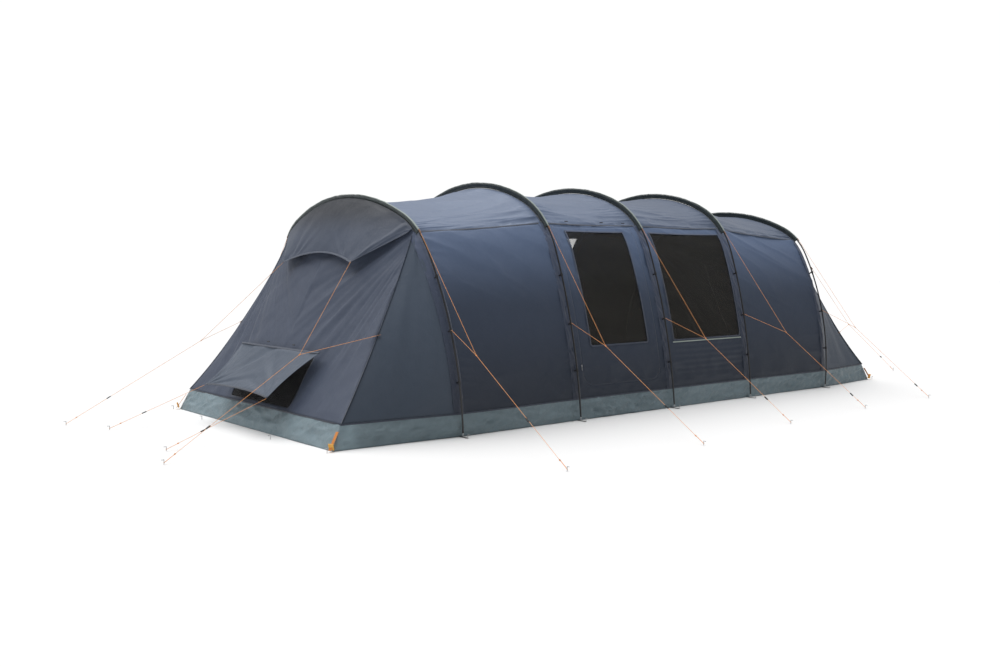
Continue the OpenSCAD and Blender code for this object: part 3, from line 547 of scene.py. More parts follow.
def dress(piece, material, body, slot, *nodes):
    """Gives a piece its material and its body, and hides the CAD nodes it stands for; slot is not used."""
    piece.data.materials.clear()
    piece.data.materials.append(material)
    if body:
        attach(piece, body)
    if nodes:
        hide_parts(*nodes)
    return piece


def middle(points):
    """The point of the tent's inside line level with each point, for telling out from in."""
    points = np.asarray(points)
    base = np.zeros_like(points)
    base[..., 0] = points[..., 0]
    base[..., 2] = np.minimum(points[..., 2], 0.9)
    return base


def tube_mesh(name, path, radius, sides=8, closed=False):
    """A round tube along a path of points, its ends closed."""
    path = np.asarray(path, float)
    n = len(path)
    along = np.roll(path, -1, 0) - np.roll(path, 1, 0) if closed else np.gradient(path, axis=0)
    along /= np.linalg.norm(along, axis=1, keepdims=True)
    side = np.cross(along[0], (0, 0, 1) if abs(along[0][2]) < 0.9 else (1, 0, 0))
    frames = []
    for tangent in along:
        side = side - tangent * side.dot(tangent)
        side /= np.linalg.norm(side)
        frames.append((side, np.cross(tangent, side)))
    angle = np.linspace(0, 2 * math.pi, sides, endpoint=False)
    radius = np.broadcast_to(radius, n)
    rings = np.array([p + r * (np.outer(np.cos(angle), a) + np.outer(np.sin(angle), b))
                      for p, r, (a, b) in zip(path, radius, frames)])
    verts = rings.reshape(-1, 3)
    faces = []
    for i in range(n if closed else n - 1):
        for k in range(sides):
            k1, i1 = (k + 1) % sides, (i + 1) % n
            faces.append((i * sides + k, i * sides + k1, i1 * sides + k1, i1 * sides + k))
    if not closed:
        faces += [tuple(range(sides - 1, -1, -1)), tuple((n - 1) * sides + k for k in range(sides))]
    mesh = bpy.data.meshes.new(name)
    mesh.from_pydata(verts.tolist(), [], faces)
    mesh.shade_smooth()
    piece = bpy.data.objects.new(name, mesh)
    scene.collection.objects.link(piece)
    return piece


def strap_mesh(name, path, width, across, thickness=0.0014):
    """A flat strap along a path; across gives its width direction at each point."""
    path = np.asarray(path, float)
    across = np.broadcast_to(np.asarray(across, float), path.shape)
    across = across / np.linalg.norm(across, axis=1, keepdims=True)
    share = np.linspace(-0.5, 0.5, 5)
    points = path[:, None] + across[:, None] * (share * width)[None, :, None]
    piece = grid_mesh(name, points, thickness=0)
    wall = piece.modifiers.new("thickness", "SOLIDIFY")
    wall.thickness, wall.offset = thickness, 0
    apply_modifiers(piece)
    return piece


def joined(name, pieces):
    """Several meshes as one piece."""
    bpy.ops.object.select_all(action="DESELECT")
    for piece in pieces:
        piece.select_set(True)
    bpy.context.view_layer.objects.active = pieces[0]
    if len(pieces) > 1:
        bpy.ops.object.join()
    made = bpy.context.view_layer.objects.active
    made.name = made.data.name = name
    bpy.ops.object.select_all(action="DESELECT")
    return made


# ---- Guy lines ----

END_PEG_REACH = 1.110
JOIN_Y, JOIN_H = 1.840, 0.670
SIDE_PEG_X = (-0.260, -0.110, 0.040, 0.190, 0.040)
SIDE_PEG_Y = (2.960, 2.920, 2.740, 2.650, 2.660)
PEG_LINE_H = 0.012
LOOP_LEN = 0.09


def corner_y(z):
    return BASE_HALF_W - CORNER_IN * z


def end_x(end, z):
    return FRONT_X + END_SLOPE * z if end == FRONT else REAR_X - END_SLOPE * z


def bow(u):
    """Bow along a seam, flatter in the middle than a parabola."""
    return 1 - np.abs(2 * u - 1) ** 2.5


def end_top(j, end, v, inward):
    t = mix(math.pi / 2, ARCHES[j].seam, np.abs(v))
    y, z = ARCHES[j].point(t, inward)
    out = end * mix(END_TOP_GAP, END_SIDE_GAP, np.asarray(v, float) ** 4)
    return leaned(j, np.sign(v) * y, z) + np.stack((out, 0 * out, 0 * out), -1)


def end_surface(j, end, v, u):
    """Point of a sloping end at share v across and share u from the mud wall to the arch."""
    v, u = np.broadcast_arrays(np.asarray(v, float), u)
    low = np.stack(np.broadcast_arrays(end_x(end, MUD_H + 0.001), v * corner_y(MUD_H), MUD_H + 0.001), -1)
    dip = mix(END_SAG, END_SEAM_SAG, v ** 4)
    sag = bow(u)[..., None] * np.stack((end * dip, v * END_SEAM_IN, 0 * v), -1)
    return mix(low, end_top(j, end, v, FLY_GAP), u[..., None]) - sag


def seam_share(j, z):
    """Share u at which the side seam of a sloping end reaches height z."""
    return (z - MUD_H - 0.001) / (end_top(j, REAR, 1.0, FLY_GAP)[2] - MUD_H - 0.001)


def seam_tab(j, end, side, z):
    """Point just off the side seam of a sloping end at height z."""
    return end_surface(j, end, side, seam_share(j, z)) + 0.012 * np.array((end, side, 0))


HOOD_TIP_HALF_W, HOOD_TIP_H, HOOD_RISE, HOOD_STAND = 0.570, 1.360, 0.085, 0.015
FLAP_TOP, FLAP_HALF_W, FLAP_LOW_HALF_W = 0.650, 0.690, 0.570
FLAP_REACH, FLAP_DROP, FLAP_BELLY = 0.410, 0.340, 0.025
FLAP_HINGE_X = end_x(FRONT, FLAP_TOP) - 0.014


def hood_tip(side):
    return np.array((end_x(FRONT, HOOD_TIP_H) - HOOD_STAND, side * HOOD_TIP_HALF_W, HOOD_TIP_H))


def flap_corner(side):
    return np.array((FLAP_HINGE_X - FLAP_REACH - 0.006, side * (FLAP_LOW_HALF_W + 0.004),
                     FLAP_TOP - FLAP_DROP - 0.003))


def short_of(start, end, gap):
    way = end - start
    return end - way / np.linalg.norm(way) * gap


FRONT_TAB_H, REAR_TAB_H = 0.800, 0.560      # heights of the guy tabs on the end seams


def line_end(start, peg):
    return short_of(start, np.array((peg[0], peg[1], PEG_LINE_H)), PEG_R + GUY_R + 0.0005)


def guy_routes():
    """(name, upper end, lower end, join, peg) of each line with two legs."""
    for side, letter in SIDES:
        for j in range(5):
            arch = ARCHES[j]
            upper = skin(j, side, arch.sleeve_end - math.radians(2.2), -SLEEVE_R - GUY_R - 0.003)
            lower = skin(j, side, arch.angle_at(CLIP_HEIGHTS[1], 0), -POLE_R - 0.0034 - GUY_R - 0.001)
            join = np.array((STATION[j] + SIDE_PEG_X[j] / 2, side * JOIN_Y, JOIN_H))
            peg = np.array((STATION[j] + SIDE_PEG_X[j], side * SIDE_PEG_Y[j], 0))
            yield f"{letter}{j + 1}", upper, lower, join, peg, "side_guys"
        yield (f"hood_{letter}", hood_tip(side) + (-0.006, side * 0.006, -0.006),
               seam_tab(0, FRONT, side, FRONT_TAB_H),
               np.array((FRONT_X + 0.010, side * 0.900, 0.665)),
               np.array((FRONT_X - END_PEG_REACH, side * 1.070, 0)), "end_guys")
        yield (f"rear_{letter}", skin(4, side, math.radians(24), -POLE_R - GUY_R - 0.005),
               seam_tab(4, REAR, side, REAR_TAB_H),
               np.array((REAR_X - 0.200, side * 1.250, 0.640)),
               np.array((REAR_X + END_PEG_REACH, side * 1.080, 0)), "end_guys")


def cord_curve(name, points):
    """A cord as one open spline with round section."""
    data = bpy.data.curves.new(name, "CURVE")
    data.dimensions = "3D"
    data.bevel_depth, data.bevel_resolution, data.use_fill_caps = GUY_R, 2, True
    spline = data.splines.new("POLY")
    spline.points.add(len(points) - 1)
    for place, point in zip(spline.points, points):
        place.co = (*point, 1)
    piece = bpy.data.objects.new(name, data)
    scene.collection.objects.link(piece)
    return piece


def straight(start, end, steps=16):
    return [mix(start, end, i / (steps - 1)) for i in range(steps)]


def length_of(points):
    return float(np.linalg.norm(np.diff(np.array(points), axis=0), axis=1).sum())


def rounded_turn(start, corner, end, reach=0.016, steps=10):
    """A path from start round the corner to end, with an easy bend."""
    a, b = short_of(start, corner, reach), short_of(end, corner, reach)
    bend = [mix(mix(a, corner, u), mix(corner, b, u), u) for u in np.linspace(0, 1, steps)]
    return straight(start, a)[:-1] + bend + straight(b, end)[1:]


def knot_mesh(name, centre, along, body="tent"):
    """A barrel knot: the cord wound three times round itself."""
    along = np.asarray(along, float) / np.linalg.norm(along)
    side = np.cross(along, (0.3, 0.2, 1))
    side /= np.linalg.norm(side)
    third = np.cross(along, side)
    turns, steps = 3.5, 44
    path = []
    for i in range(steps):
        share = i / (steps - 1)
        angle = share * turns * 2 * math.pi
        r = 0.0022 + 0.0022 * math.sin(math.pi * share) ** 0.5
        path.append(centre + along * (share - 0.5) * 0.013
                    + side * r * math.cos(angle) + third * r * math.sin(angle))
    knot = tube_mesh(name, path, GUY_R * 0.95, 6)
    return dress(knot, GUY_CORD, body, "guy_cord")


def peg_loop(name, knot_at, end, peg):
    """The doubled cord from the knot, round the peg and back."""
    along = (end - knot_at) / np.linalg.norm(end - knot_at)
    flat = np.array((along[0], along[1], 0))
    flat /= np.linalg.norm(flat)
    side = np.array((-flat[1], flat[0], 0))
    centre = np.array((peg[0], peg[1], PEG_LINE_H))
    r = PEG_R + GUY_R * 0.9
    tangent = centre + side * r
    path = [mix(knot_at + side * 0.0032, tangent, share) for share in np.linspace(0, 1, 12)[:-1]]
    for angle in np.linspace(90, -60, 9):
        a = math.radians(angle)
        path.append(centre + side * r * math.sin(a) + flat * r * math.cos(a))
    path.append(end - side * GUY_R)
    loop = tube_mesh(name, path, GUY_R * 0.8, 6)
    return dress(loop, GUY_CORD, "tent", "guy_cord")


def make_guys():
    for name, upper, lower, join, peg, node in guy_routes():
        end = line_end(join, peg)
        knot_at = short_of(join, end, LOOP_LEN)
        bridle_path = rounded_turn(upper, join, lower)
        bridle = dress(cord_curve(f"bridle_{name}", bridle_path), GUY_CORD, "tent", "guy_cord", node)
        knot = knot_mesh(f"join_knot_{name}", join, end - join)
        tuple(upper)
        length_of(bridle_path)
        line_path = straight(join, end, 20)
        line = dress(cord_curve(f"line_{name}", line_path), GUY_CORD, "tent", "guy_cord", node)
        tail = knot_mesh(f"peg_knot_{name}", knot_at, end - join)
        loop = peg_loop(f"peg_loop_{name}", knot_at, end, peg)
        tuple(join)
        length_of(line_path)


def make_flap_lines():
    for side, letter in SIDES:
        start = flap_corner(side)
        peg = np.array((FRONT_X - END_PEG_REACH + 0.200, side * 0.600, 0))
        end = line_end(start, peg)
        knot_at = short_of(start, end, LOOP_LEN)
        path = straight(start, end, 30)
        line = tube_mesh(f"flap_line_{letter}", path, GUY_R, 10)
        dress(line, GUY_CORD, None, "guy_cord", "end_guys")
        mix(start, end, 0.55)
        mix(start, end, 0.03)
        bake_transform(line)
        tail = knot_mesh(f"flap_peg_knot_{letter}", knot_at, end - start)
        loop = peg_loop(f"flap_peg_loop_{letter}", knot_at, end, peg)
        length_of(path)


make_guys()
make_flap_lines()


# ---- Fly: roofs and walls ----

WALL_LOW_STEPS, WALL_STEPS = 5, 8     # profile coordinate of the wall arc's end and of the seam
SEAM_HALF = math.radians(0.05)


def wall_angle(j, c):
    """Angle on arch j at profile coordinate c, from the mud wall's top up to the seam."""
    arch = ARCHES[j]
    foot = arch.angle_at(MUD_H + 0.001)
    return np.where(c <= WALL_LOW_STEPS,
                    mix(foot, arch.wall_end, c / WALL_LOW_STEPS),
                    mix(arch.wall_end, arch.seam - SEAM_HALF,
                        (c - WALL_LOW_STEPS) / (WALL_STEPS - WALL_LOW_STEPS)))


def profile_at(z):
    """Profile coordinate at which a middle arch reaches height z."""
    t = MID.angle_at(z)
    foot = MID.angle_at(MUD_H + 0.001)
    return np.where(t <= MID.wall_end,
                    WALL_LOW_STEPS * (t - foot) / (MID.wall_end - foot),
                    WALL_LOW_STEPS + (WALL_STEPS - WALL_LOW_STEPS) * (t - MID.wall_end)
                    / (MID.seam - SEAM_HALF - MID.wall_end))


def wall_surface(k, side, u, c):
    """Point of the wall of bay k at share u along the bay and profile coordinate c."""
    inward = FLY_GAP + hollow(u) * SEAM_SAG * c / WALL_STEPS
    a = skin(k, side, wall_angle(k, c), inward)
    b = skin(k + 1, side, wall_angle(k + 1, c), inward)
    return mix(a, b, np.asarray(u)[..., None])


def graded(stops, step):
    """Values from the first stop to the last, through every stop, no further apart than step."""
    values = [stops[0]]
    for low, high in zip(stops, stops[1:]):
        count = max(1, math.ceil((high - low) / step - 1e-6))
        values += [low + (high - low) * (i + 1) / count for i in range(count)]
    return np.array(values)


def inside(a, b, outline):
    """True where the point (a, b) lies in the closed outline."""
    found = np.zeros(a.shape, bool)
    for (x0, y0), (x1, y1) in zip(outline, np.roll(outline, -1, axis=0)):
        if y0 != y1:
            found ^= ((y0 > b) != (y1 > b)) & (a < (x1 - x0) * (b - y0) / (y1 - y0) + x0)
    return found


def cut(a, b, outline):
    """(a, b, mask): the grid with its edge drawn onto the outline, and its faces inside it."""
    a, b = a.copy(), b.copy()
    mid_a = (a[:-1, :-1] + a[1:, :-1] + a[:-1, 1:] + a[1:, 1:]) / 4
    mid_b = (b[:-1, :-1] + b[1:, :-1] + b[:-1, 1:] + b[1:, 1:]) / 4
    mask = inside(mid_a, mid_b, outline)
    touched, free = np.zeros(a.shape, bool), np.zeros(a.shape, bool)
    for rows, cols in ((slice(0, -1), slice(0, -1)), (slice(1, None), slice(0, -1)),
                       (slice(0, -1), slice(1, None)), (slice(1, None), slice(1, None))):
        touched[rows, cols] |= mask
        free[rows, cols] |= ~mask
    edge = touched & free
    points = np.stack((a[edge], b[edge]), -1)
    best, found = np.full(len(points), 1e9), points.copy()
    for p, q in zip(outline, np.roll(outline, -1, axis=0)):
        way = q - p
        share = np.clip(((points - p) @ way) / max(way @ way, 1e-12), 0, 1)
        near = p + share[:, None] * way
        gap = np.linalg.norm(points - near, axis=1)
        closer = gap < best
        best[closer], found[closer] = gap[closer], near[closer]
    a[edge], b[edge] = found[:, 0], found[:, 1]
    return a, b, mask


def arched_sill(x0, x1, z0, z1, r, steps=10):
    """Outline with two rounded lower corners."""
    turn = np.linspace(0, math.pi / 2, steps + 1)
    left = np.stack((x0 + r - r * np.cos(turn), z0 + r - r * np.sin(turn)), -1)
    right = np.stack((x1 - r + r * np.sin(turn), z0 + r - r * np.cos(turn)), -1)
    return np.concatenate(([[x0, z1]], left, right, [[x1, z1]]))


def distance_to(a, b, outline, closed=True):
    """Distance of each point to the outline."""
    best = np.full(a.shape, 1e9)
    ends = zip(outline, np.roll(outline, -1, axis=0)) if closed else zip(outline, outline[1:])
    for p, q in ends:
        way = q - p
        share = np.clip(((a - p[0]) * way[0] + (b - p[1]) * way[1]) / max(way @ way, 1e-12), 0, 1)
        best = np.minimum(best, np.hypot(a - p[0] - share * way[0], b - p[1] - share * way[1]))
    return best


SEAM_Z = MID.shoulder_c[1] + (MID.shoulder_r - FLY_GAP) * math.sin(MID.seam)
DOOR_SILL, DOOR_TOP = 0.280, SEAM_Z - 0.022
WINDOW_SILL, WINDOW_TOP = 0.622, SEAM_Z - 0.064
DOOR_X0, DOOR_X1 = STATION[1] + 0.107, STATION[2] - 0.107
DOOR_OUTLINE = arched_sill(DOOR_X0, DOOR_X1, DOOR_SILL, DOOR_TOP, 0.130)
DOOR_WINDOW = arched_sill(DOOR_X0 + 0.128, DOOR_X1 - 0.128, WINDOW_SILL, WINDOW_TOP, 0.025)


def bay_window(k):
    return arched_sill(STATION[k] + 0.118, STATION[k + 1] - 0.059, WINDOW_SILL, WINDOW_TOP, 0.025)


def wall_folds(k, side, x, z, u, c):
    """Height of the soft folds of a wall, out from its smooth shape."""
    seed = 10 * k + (1 if side == NEAR else 5)
    edge = smooth(u, 0, 0.05) * smooth(1 - u, 0, 0.05) * smooth(c, 0, 0.25) * smooth(WALL_STEPS - c, 0, 0.2)
    # long folds that fall away from the upper corner nearest the front
    fall = z + 0.42 * x
    folds = 0.0100 * creases(fall * 4.2, x * 0.8, seed) * smooth(z, 0.75, 1.4)
    folds += 0.0050 * creases(fall * 9, x * 1.5, seed + 1) * smooth(z, 0.5, 1.4)
    # gathers along the pole seams
    close = np.exp(-u * BAY[k] / 0.09) + np.exp(-(1 - u) * BAY[k] / 0.09)
    folds += 0.0065 * close * creases(z * 15 + 2 * x, x * 3.0, seed + 2)
    # crumples over the mud wall
    folds += 0.0065 * creases(x * 5 + z * 3, z * 6, seed + 4) * smooth(0.66 - z, 0, 0.35)
    folds += 0.0012 * noise(x * 9, z * 9, seed + 3)
    return edge * folds


def pucker(a, b, outline, seed, reach=0.05, depth=0.0042):
    """Short gathers that a sewn edge makes in the cloth beside it."""
    gap = distance_to(a, b, outline)
    return depth * np.exp(-gap / reach) * smooth(gap, 0, 0.012) * creases(a * 15, b * 15, seed)


STEP = 0.013


def bay_wall(k, side, outlines):
    """The wall of bay k on one grid, with a mask for the inside of each outline."""
    station_a = STATION[k]
    boxes = [(o[:, 0].min(), o[:, 0].max(), o[:, 1].min(), o[:, 1].max()) for o in outlines]
    x_stops = sorted({station_a + 0.001, STATION[k + 1] - 0.001, *(v for b in boxes for v in b[:2])})
    z_stops = sorted({MUD_H + 0.001, SEAM_Z, *(v for b in boxes for v in b[2:])})
    x, z = np.meshgrid(graded(x_stops, STEP), graded(z_stops, STEP))
    masks = []
    for outline in outlines:
        x, z, mask = cut(x, z, outline)
        masks.append(mask)
    u = (x - station_a) / BAY[k]
    c = np.clip(profile_at(z), 0, WALL_STEPS)
    points = wall_surface(k, side, u, c)
    height = wall_folds(k, side, x, z, u, c)
    return x, z, u, c, points, height, masks


def place_sheet(piece, flat):
    return piece


WALL_RUN = 1.68      # cut length of a wall panel from the mud wall to the seam


def make_walls():
    for k in range(4):
        for side, word in ((NEAR, "near"), (FAR, "far")):
            outlines = {(1, NEAR): [DOOR_OUTLINE, DOOR_WINDOW], (2, NEAR): [bay_window(2)],
                        (1, FAR): [bay_window(1)], (2, FAR): [bay_window(2)]}.get((k, side), [])
            x, z, _, _, points, height, masks = bay_wall(k, side, outlines)
            width, drop = BAY[k], None
            hole = 0.0
            if outlines:
                drop = masks[0]
                for n, outline in enumerate(outlines):
                    height = height + pucker(x, z, outline, 40 + k + n)
                first = outlines[0]
                hole = np.ptp(first[:, 0]) * np.ptp(first[:, 1])
            if (k, side) == (1, NEAR):
                height = height * smooth(distance_to(x, z, DOOR_OUTLINE, False), 0.010, 0.050)
            if (k, side) == (2, NEAR):
                height = height + low_pleats(x, z)
            shaped = pushed(points, height, middle)
            name = f"wall_{word}_{k + 1}"
            wall = grid_mesh(f"fly_{name}", shaped, drop=drop, outward=middle)
            dress(wall, WALL_CLOTH_PAINTED_LIGHT, "tent", "wall_fabric", name)
            place_sheet(wall, (width, WALL_RUN))
            if (k, side) == (1, NEAR):
                leaf = grid_mesh("door_leaf", shaped, drop=~masks[0] | masks[1], outward=middle)
                dress(leaf, WALL_CLOTH_PAINTED_LIGHT, "side_door", "wall_fabric", "side_door")
                place_sheet(leaf, (0.996, 1.44))
                make_pane("door_window_film", "side_door_window", "side_door", points, masks[1], x, z)
            elif outlines:
                make_pane(f"window_film_{word}_{k + 1}", f"window_{word}_{k + 1}", "tent",
                          points, masks[0], x, z)


def low_pleats(x, z):
    """Flat pleats across the lower panel of bay 3."""
    low, high = 0.30, 0.60
    band = smooth(z, low - 0.03, low + 0.03) * smooth(high - z, -0.03, 0.03)
    waves = np.sin(z * 2 * math.pi / 0.052 + 0.6 * noise(x * 2, z * 5, 91))
    return 0.0022 * band * waves * smooth(x, STATION[2] + 0.05, STATION[2] + 0.2)


def make_pane(name, node, body, points, mask, x, z):
    """Window film, a hair inside the cloth, with a slow ripple."""
    ripple = -0.003 + 0.0016 * noise(x * 3, z * 14, 71) + 0.001 * noise(x * 8, z * 20, 72)
    shaped = pushed(points, ripple, middle)
    film = grid_mesh(name, shaped, drop=~mask, outward=middle, thickness=0.0006)
    dress(film, WINDOW_FILM, body, "window_film", node)
    width, tall = np.ptp(x[:-1, :-1][mask]), np.ptp(z[:-1, :-1][mask])
    place_sheet(film, (float(width), float(tall) * 1.05))


ROOF_STEPS = 6


def roof_profile(j, c):
    """(side, angle) of arch j at roof coordinate c, from the near seam 0 over the top to the far seam 12."""
    arch = ARCHES[j]
    h = np.minimum(c, 2 * ROOF_STEPS - c)
    t = np.where(h <= 3, mix(arch.seam + SEAM_HALF, arch.shoulder_end, h / 3),
                 mix(arch.shoulder_end, math.pi / 2, (h - 3) / 3))
    return np.where(c <= ROOF_STEPS, NEAR, FAR), t


def roof_surface(k, u, c):
    h = np.minimum(c, 2 * ROOF_STEPS - c)
    sag = mix(SEAM_SAG, ROOF_SAG, np.sin(math.pi / 2 * h / ROOF_STEPS))
    inward = FLY_GAP + hollow(u) * sag
    ends = []
    for j in (k, k + 1):
        side, t = roof_profile(j, c)
        y, z = ARCHES[j].point(t, inward)
        ends.append(leaned(j, side * y, z))
    return mix(ends[0], ends[1], u[..., None])


def make_roofs():
    for k in range(4):
        steps_u = int(BAY[k] / 0.014)
        u, c = np.meshgrid(np.linspace(0.001, 0.999, steps_u), np.linspace(0, 2 * ROOF_STEPS, 190))
        points = roof_surface(k, u, c)
        seed = 200 + 10 * k
        edge = smooth(u, 0, 0.04) * smooth(1 - u, 0, 0.04) * smooth(c, 0, 0.2) * smooth(12 - c, 0, 0.2)
        run = c * 0.19         # rough distance round the roof in metres
        # taut streaks along the tent, finest beside the sleeves
        close = np.exp(-u * BAY[k] / 0.16) + np.exp(-(1 - u) * BAY[k] / 0.16)
        height = 0.0080 * creases(run * 4.5 + u * 0.9, u * 1.3, seed)
        height += 0.0042 * creases(run * 11, u * 2.2, seed + 1)
        height += 0.0060 * close * creases(run * 19, u * 4, seed + 2)
        height += 0.0009 * noise(run * 12, u * 14, seed + 3)
        # pulls beside the seam with the wall
        low = np.exp(-c / 0.5) + np.exp(-(12 - c) / 0.5)
        height += 0.0075 * low * creases(u * BAY[k] * 11, run * 9, seed + 4)
        roof = grid_mesh(f"fly_roof_{k + 1}", pushed(points, edge * height, middle), outward=middle)
        dress(roof, ROOF_CLOTH_PAINTED_LIGHT, "tent", "roof_fabric", f"roof_{k + 1}")
        place_sheet(roof, (BAY[k], 2.25))


make_walls()
make_roofs()


# ---- Sloping ends ----

def in_front(points):
    """A point inside the tent for each point of a sloping end."""
    base = np.zeros_like(np.asarray(points))
    base[..., 0] = 0.0
    base[..., 2] = 0.5
    return base


VENT = arched_sill(-0.520, 0.520, 0.210, 0.610, 0.020)
REAR_DOOR = arched_sill(-0.430, 0.430, 0.240, 1.320, 0.110)


def end_folds(end, y, z):
    """Long folds that run from the arch's shoulders down to the middle of the base, as a skirt hangs."""
    side = np.sign(y)
    # angle about the upper near and far corners
    away_y, away_z = 1.10 - np.abs(y), 1.62 - z
    angle = np.arctan2(away_z, np.maximum(away_y, 0.02))
    reach = np.hypot(away_y, away_z)
    seed = 300 if end == FRONT else 340
    fan = noise(angle * 11 + side * 7, reach * 0.9 + side * 3, seed)
    fan += 0.5 * noise(angle * 23, reach * 1.3, seed + 1)
    height = 0.011 * fan * smooth(reach, 0.05, 0.5) * smooth(1.9 - reach, 0, 0.8)
    height += 0.004 * noise((y * 0.8 + z) * 8, (z - y) * 1.3, seed + 2)
    height += 0.0015 * noise(y * 12, z * 12, seed + 3)
    return height


def make_ends():
    v, u = np.meshgrid(np.linspace(-1, 1, 170), np.linspace(0, 1, 120))
    for end, j, word, outline, nodes in ((FRONT, 0, "front", VENT, "front_panel"),
                                         (REAR, 4, "rear", REAR_DOOR, "rear_panel")):
        points = end_surface(j, end, v, u)
        y, z = points[..., 1], points[..., 2]
        y2, z2, mask = cut(y, z, outline)
        points[..., 0] -= end * END_SLOPE * (z2 - z)
        points[..., 1], points[..., 2] = y2, z2
        edge = smooth(u, 0, 0.04) * smooth(1 - u, 0, 0.04) * smooth(1 - np.abs(v), 0, 0.03)
        shaped = pushed(points, edge * end_folds(end, y2, z2), in_front)
        panel = grid_mesh(f"{word}_end_cloth", shaped, drop=mask, outward=in_front)
        dress(panel, END_CLOTH, "tent", "end_fabric", nodes)
        hole = np.ptp(outline[:, 0]) * np.ptp(outline[:, 1]) * 1.12
        place_sheet(panel, (2.72, 1.95))
        if end == FRONT:
            net = grid_mesh("vent_net", pushed(points, np.full(u.shape, -0.002), in_front),
                            drop=~mask, outward=in_front, thickness=0.0006)
            dress(net, INSECT_MESH, "tent", "mesh", "vent_mesh")
            place_sheet(net, (1.04, 0.45))
        else:
            leaf = grid_mesh("rear_door_leaf", shaped, drop=~mask, outward=in_front)
            dress(leaf, END_CLOTH, "rear_door", "end_fabric", "rear_door")
            place_sheet(leaf, (0.86, 1.22))


def gusset_surface(j, end, side, w, c):
    post = skin(j, side, wall_angle(j, c), FLY_GAP) + np.array((end * 0.002, 0, 0))
    seam = end_surface(j, end, side, np.clip(seam_share(j, post[..., 2]), 0, 1))
    return mix(seam, post, w[..., None])


def make_gussets():
    w, c = np.meshgrid(np.linspace(0, 1, 70), np.linspace(0, WALL_STEPS, 120))
    for end, j, word in ((FRONT, 0, "front"), (REAR, 4, "rear")):
        for side, letter in SIDES:
            points = gusset_surface(j, end, side, w, c)
            x, z = points[..., 0], points[..., 2]
            edge = smooth(w, 0, 0.05) * smooth(1 - w, 0, 0.05) * smooth(c, 0, 0.3) * smooth(8 - c, 0, 0.4)
            height = 0.007 * noise(w * 6 + z * 0.4, z * 1.2, 400 + j + side)
            height += 0.002 * noise(x * 9, z * 5, 410 + j + side)
            piece = grid_mesh(f"{word}_gusset_{letter}", pushed(points, edge * height, middle),
                              outward=middle)
            dress(piece, GUSSET_CLOTH_PAINTED_SHADE, "tent", "wall_fabric", f"{word}_gussets")
            place_sheet(piece, (1.05, 1.70))


def hood_top_edge(v):
    return end_top(0, FRONT, v, FLY_GAP / 2) + np.array((-0.009, 0, 0))


HOOD_TIP_V, HOOD_EDGE_V = 0.55, 0.96


def hood_low_edge(v):
    arc = hollow((np.clip(v / HOOD_TIP_V, -1, 1) + 1) / 2)
    tip = hood_tip(1)
    low = np.stack((tip[0] + 0.5 * HOOD_RISE * arc, HOOD_TIP_HALF_W * np.clip(v / HOOD_TIP_V, -1, 1),
                    HOOD_TIP_H + HOOD_RISE * arc), -1)
    side_share = np.clip((np.abs(v) - HOOD_TIP_V) / (1 - HOOD_TIP_V), 0, 1)[..., None]
    return mix(low, hood_top_edge(np.where(v < 0, -1.0, 1.0)), side_share)


def make_hood():
    v, u = np.meshgrid(np.linspace(HOOD_EDGE_V, -HOOD_EDGE_V, 170), np.linspace(0, 1, 60))
    low, top = hood_low_edge(v), hood_top_edge(v)
    points = mix(low, top, u[..., None])
    spread = (1 - np.abs(v)) * hollow(u)
    # folds that rise from the two tips
    fan = sum(np.exp(-((v - s * HOOD_TIP_V) / 0.30) ** 2)
              * noise((v - s * HOOD_TIP_V) * 9 / (0.35 + u), u * 1.2, 430 + s) for s in (-1, 1))
    edge = smooth(1 - u, 0, 0.1) * smooth(HOOD_EDGE_V - np.abs(v), 0, 0.05)
    height = 0.010 * fan * edge * smooth(u, 0, 0.12) + 0.028 * spread
    height += edge * 0.002 * noise(v * 14, u * 5, 433)
    piece = grid_mesh("hood_cloth", pushed(points, height, in_front), outward=in_front)
    dress(piece, HOOD_CLOTH_PAINTED_SHADE, "tent", "end_fabric", "hood")
    place_sheet(piece, (2.05, 0.72))


def flap_point(v, u):
    """Point of the vent flap at share v across and u from its hinge.

    The sides pull in between the corners.
    """
    half = mix(FLAP_HALF_W, FLAP_LOW_HALF_W, u) - 0.045 * hollow(u) * v ** 2
    belly = FLAP_BELLY * hollow(u) * (1 - v * v)
    lift = 0.035 * u * (1 - v * v)
    return np.stack((FLAP_HINGE_X - FLAP_REACH * u + lift, v * half,
                     FLAP_TOP - FLAP_DROP * u - belly + lift * 0.5), -1)


def make_flap():
    v, u = np.meshgrid(np.linspace(1, -1, 130), np.linspace(0, 1, 60))
    points = flap_point(v, u)
    # folds from the two lower corners up to the middle of the top seam
    fan = sum(noise(np.arctan2(1.02 - u, np.maximum(1 - s * v, 0.02)) * 7 + s,
                    np.hypot(1 - u, 1 - s * v), 440 + s)
              * smooth(s * v, -0.9, 0.6) for s in (-1, 1))
    edge = smooth(u, 0, 0.08) * smooth(1 - np.abs(v), 0, 0.04)
    height = edge * (0.012 * fan * smooth(1 - u, -0.2, 0.3) + 0.0015 * noise(v * 16, u * 8, 443))
    shaped = pushed(points, height, lambda p: np.asarray(p) - np.array((0, 0, 1.0)))
    piece = grid_mesh("vent_flap_cloth", shaped, outward=lambda p: np.asarray(p) - np.array((0, 0, 1.0)))
    dress(piece, FLAP_CLOTH_PAINTED_LIGHT, "vent_flap", "end_fabric", "vent_flap")
    place_sheet(piece, (1.38, 0.555))


make_ends()
make_gussets()
make_hood()
make_flap()


# ---- Mud wall and groundsheet ----

